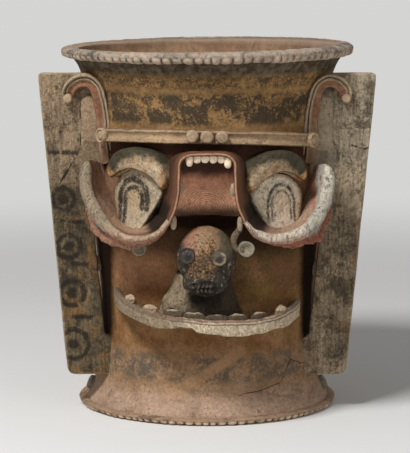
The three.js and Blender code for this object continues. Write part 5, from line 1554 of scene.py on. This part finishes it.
GOGGLES = {
    -1: goggle_finish("burnished eye", (36, 30, 27), (54, 46, 42), (136, 120, 106), 0.5, -25.5, 461,
                      0.45),
    1: goggle_finish("crusted eye", (60, 50, 40), (82, 72, 58), (190, 172, 142), 0.95, 15.5, 467, 0.2),
}
for sign, side in SIDES:
    x, z = -5 + sign * 20.5, 236 - sign
    reach = SKULL[1] * math.sqrt(1 - ((x - HEAD[0]) / SKULL[0]) ** 2 - ((z - HEAD[2]) / SKULL[2]) ** 2)
    rows = lump_rows((x, HEAD[1] - reach, z), (GOGGLE, 8.4, GOGGLE), 471 + sign * 4, 0.95, 0.35, 0, 40)
    ring = np.hypot(rows[..., 0] - x, rows[..., 2] - z) / GOGGLE
    piece(f"goggle_{side}", rows, f"small_head_eye_{side}", GOGGLES[sign],
          {"ring": ring})
print("eyes are", 2 * GOGGLE, "mm across")

# %% [markdown]
# The bust is a cone with a round, lumpy skin. It stands on the jaw's floor and narrows to the neck.

# %% Bust
def bust_rows():
    """Rings that narrow upward."""
    share = np.linspace(0, 1, 90)[:, None]
    turn = circle(160)
    half = 56 - 23 * share ** 1.5
    rows = xyz(-9 + 2 * share + half * np.cos(turn), -165 + 42 * np.sin(turn), 139 + 67 * share)
    return handmade(rows, 481, (3.2, 14), (1.6, 5))


def bust_finish():
    """Grey-brown clay, with a crust of cream on the left side and painted shade under the chin."""
    f = Finish("bust clay")
    left = (f.x.ragged(34, 16, 491, 8, 0.75) - (f.z - 170) * 0.2).step(-18, -34)
    weather(f, f.mix(left, (48, 39, 30), (92, 74, 55)), f.mix(left, (74, 64, 50), (144, 126, 102)),
            (28, 23, 18), 0.6, 8, 0.4, 0.8, 493)
    streaks = f.noise(12, 498, 8, 0.78, 0.8, f.stretched(0.7, 0.7, 1.3)).step(0.5, 0.62)
    # Painted shade: the head's shadow under the chin, near black.
    under_x = (f.x + 2) / 24
    under = (under_x * under_x).ragged(0.7, 12, 497).step(1.2, 0.5) * f.z.step(158, 176)
    f.lay((streaks * 0.5, (58, 50, 40)), (under * 0.8, (20, 15, 12)))
    return f.done(1.0)


piece("little_bust", bust_rows(), "small_head_bust", bust_finish())
print("bust stands on the jaw")

# %% [markdown]
# ## The pieces that stay as they are
# The floor of the vessel and the jaw's tray are plain slabs that only show a little, so the CAD
# solids stay in the picture and get clay finishes of their own.

# %% Finishes for the CAD nodes
KEPT = {
    "floor_slab": plain_slip("floor clay", (120, 92, 66), (140, 112, 86), SOOT, 0.5, 20, 0.3, 0.5,
                             501, 0.4),
    "jaw_tray": plain_slip("jaw floor clay", (110, 82, 58), (134, 108, 82), (40, 32, 24), 0.5, 14, 0.3,
                           0.6, 507, 0.4),
}
for name, finish in KEPT.items():
    for slot in nodes[name].material_slots:
        slot.material = finish
print("kept:", ", ".join(KEPT))

# %% [markdown]
# ## The studio
# The urn stands on a pale floor in soft light: a large lamp high at the front left, a weaker one at
# the right, and a little light from all sides. A wall behind it would hide the urn from the back,
# so the backdrop is only a colour: further out the floor, and past its edge the world, show the
# camera one pale grey, while the light that falls on the urn stays as it is.

# %% Stage and light
BACKDROP = (0.66, 0.66, 0.65, 1)
SHEET_RADII = [0.02, 0.5, 1.2, 2.5, 5.0, 9.0]


def background_rays(tree):
    """1 for the rays that show the background: the camera's, and those of reflections and glass."""
    path = tree.nodes.new("ShaderNodeLightPath")
    total = path.outputs["Is Camera Ray"]
    for name in ("Is Glossy Ray", "Is Transmission Ray"):
        both = tree.nodes.new("ShaderNodeMath")
        both.operation = "MAXIMUM"
        tree.links.new(total, both.inputs[0])
        tree.links.new(path.outputs[name], both.inputs[1])
        total = both.outputs[0]
    return total


def floor_finish():
    """Matte pale paper near the urn; from 0.9 m to 2.4 m out it turns into the backdrop's grey."""
    f = Finish("studio paper")
    far = (f.x * f.x + f.ahead * f.ahead).root().step(900, 2400)
    grain = f.mix(f.noise(400, 511, 3), (0.76, 0.755, 0.745, 1), (0.79, 0.785, 0.775, 1))
    paper = f.node("ShaderNodeBsdfDiffuse", {}, {"Color": grain}, "BSDF")
    glow = f.node("ShaderNodeEmission", {}, {"Color": BACKDROP, "Strength": 1}, "Emission")
    share = far * Wire(f, background_rays(f.tree))
    shader = f.node("ShaderNodeMixShader", {}, {0: share, 1: paper, 2: glow}, "Shader")
    f.node("ShaderNodeOutputMaterial", {}, {"Surface": shader}, None)
    return f.material


def lamp(name, place, aim, size, power):
    """A square area lamp that looks at a point."""
    light = bpy.data.lights.new(name, "AREA")
    light.size, light.energy = size, power
    made = put(name, light)
    made.location = place
    made.rotation_euler = (Vector(place) - Vector(aim)).to_track_quat("Z", "Y").to_euler()


radius, turn = np.array(SHEET_RADII)[:, None], circle(64)
points, faces = skin(xyz(radius * np.cos(turn), radius * np.sin(turn), 0))
sheet = mesh_object("studio_sheet", points, [face for face in faces if len(face) == 4], floor_finish())
lamp("key lamp", (-1.2, -1.8, 2.7), (0, 0, 0.25), 0.75, 98)
lamp("fill lamp", (1.9, -2.4, 1.3), (0, 0, 0.25), 1.8, 11)

world = bpy.data.worlds.new("studio air")
world.use_nodes = True
air = world.node_tree
soft = air.nodes["Background"]
soft.inputs["Color"].default_value = (1.0, 0.99, 0.97, 1)
soft.inputs["Strength"].default_value = 0.25
seen = air.nodes.new("ShaderNodeBackground")
seen.inputs["Color"].default_value = BACKDROP
either = air.nodes.new("ShaderNodeMixShader")
air.links.new(background_rays(air), either.inputs[0])
air.links.new(soft.outputs[0], either.inputs[1])
air.links.new(seen.outputs[0], either.inputs[2])
air.links.new(either.outputs[0], air.nodes["World Output"].inputs[0])
bpy.context.scene.world = world
print("two lamps, a pale floor and a grey backdrop")
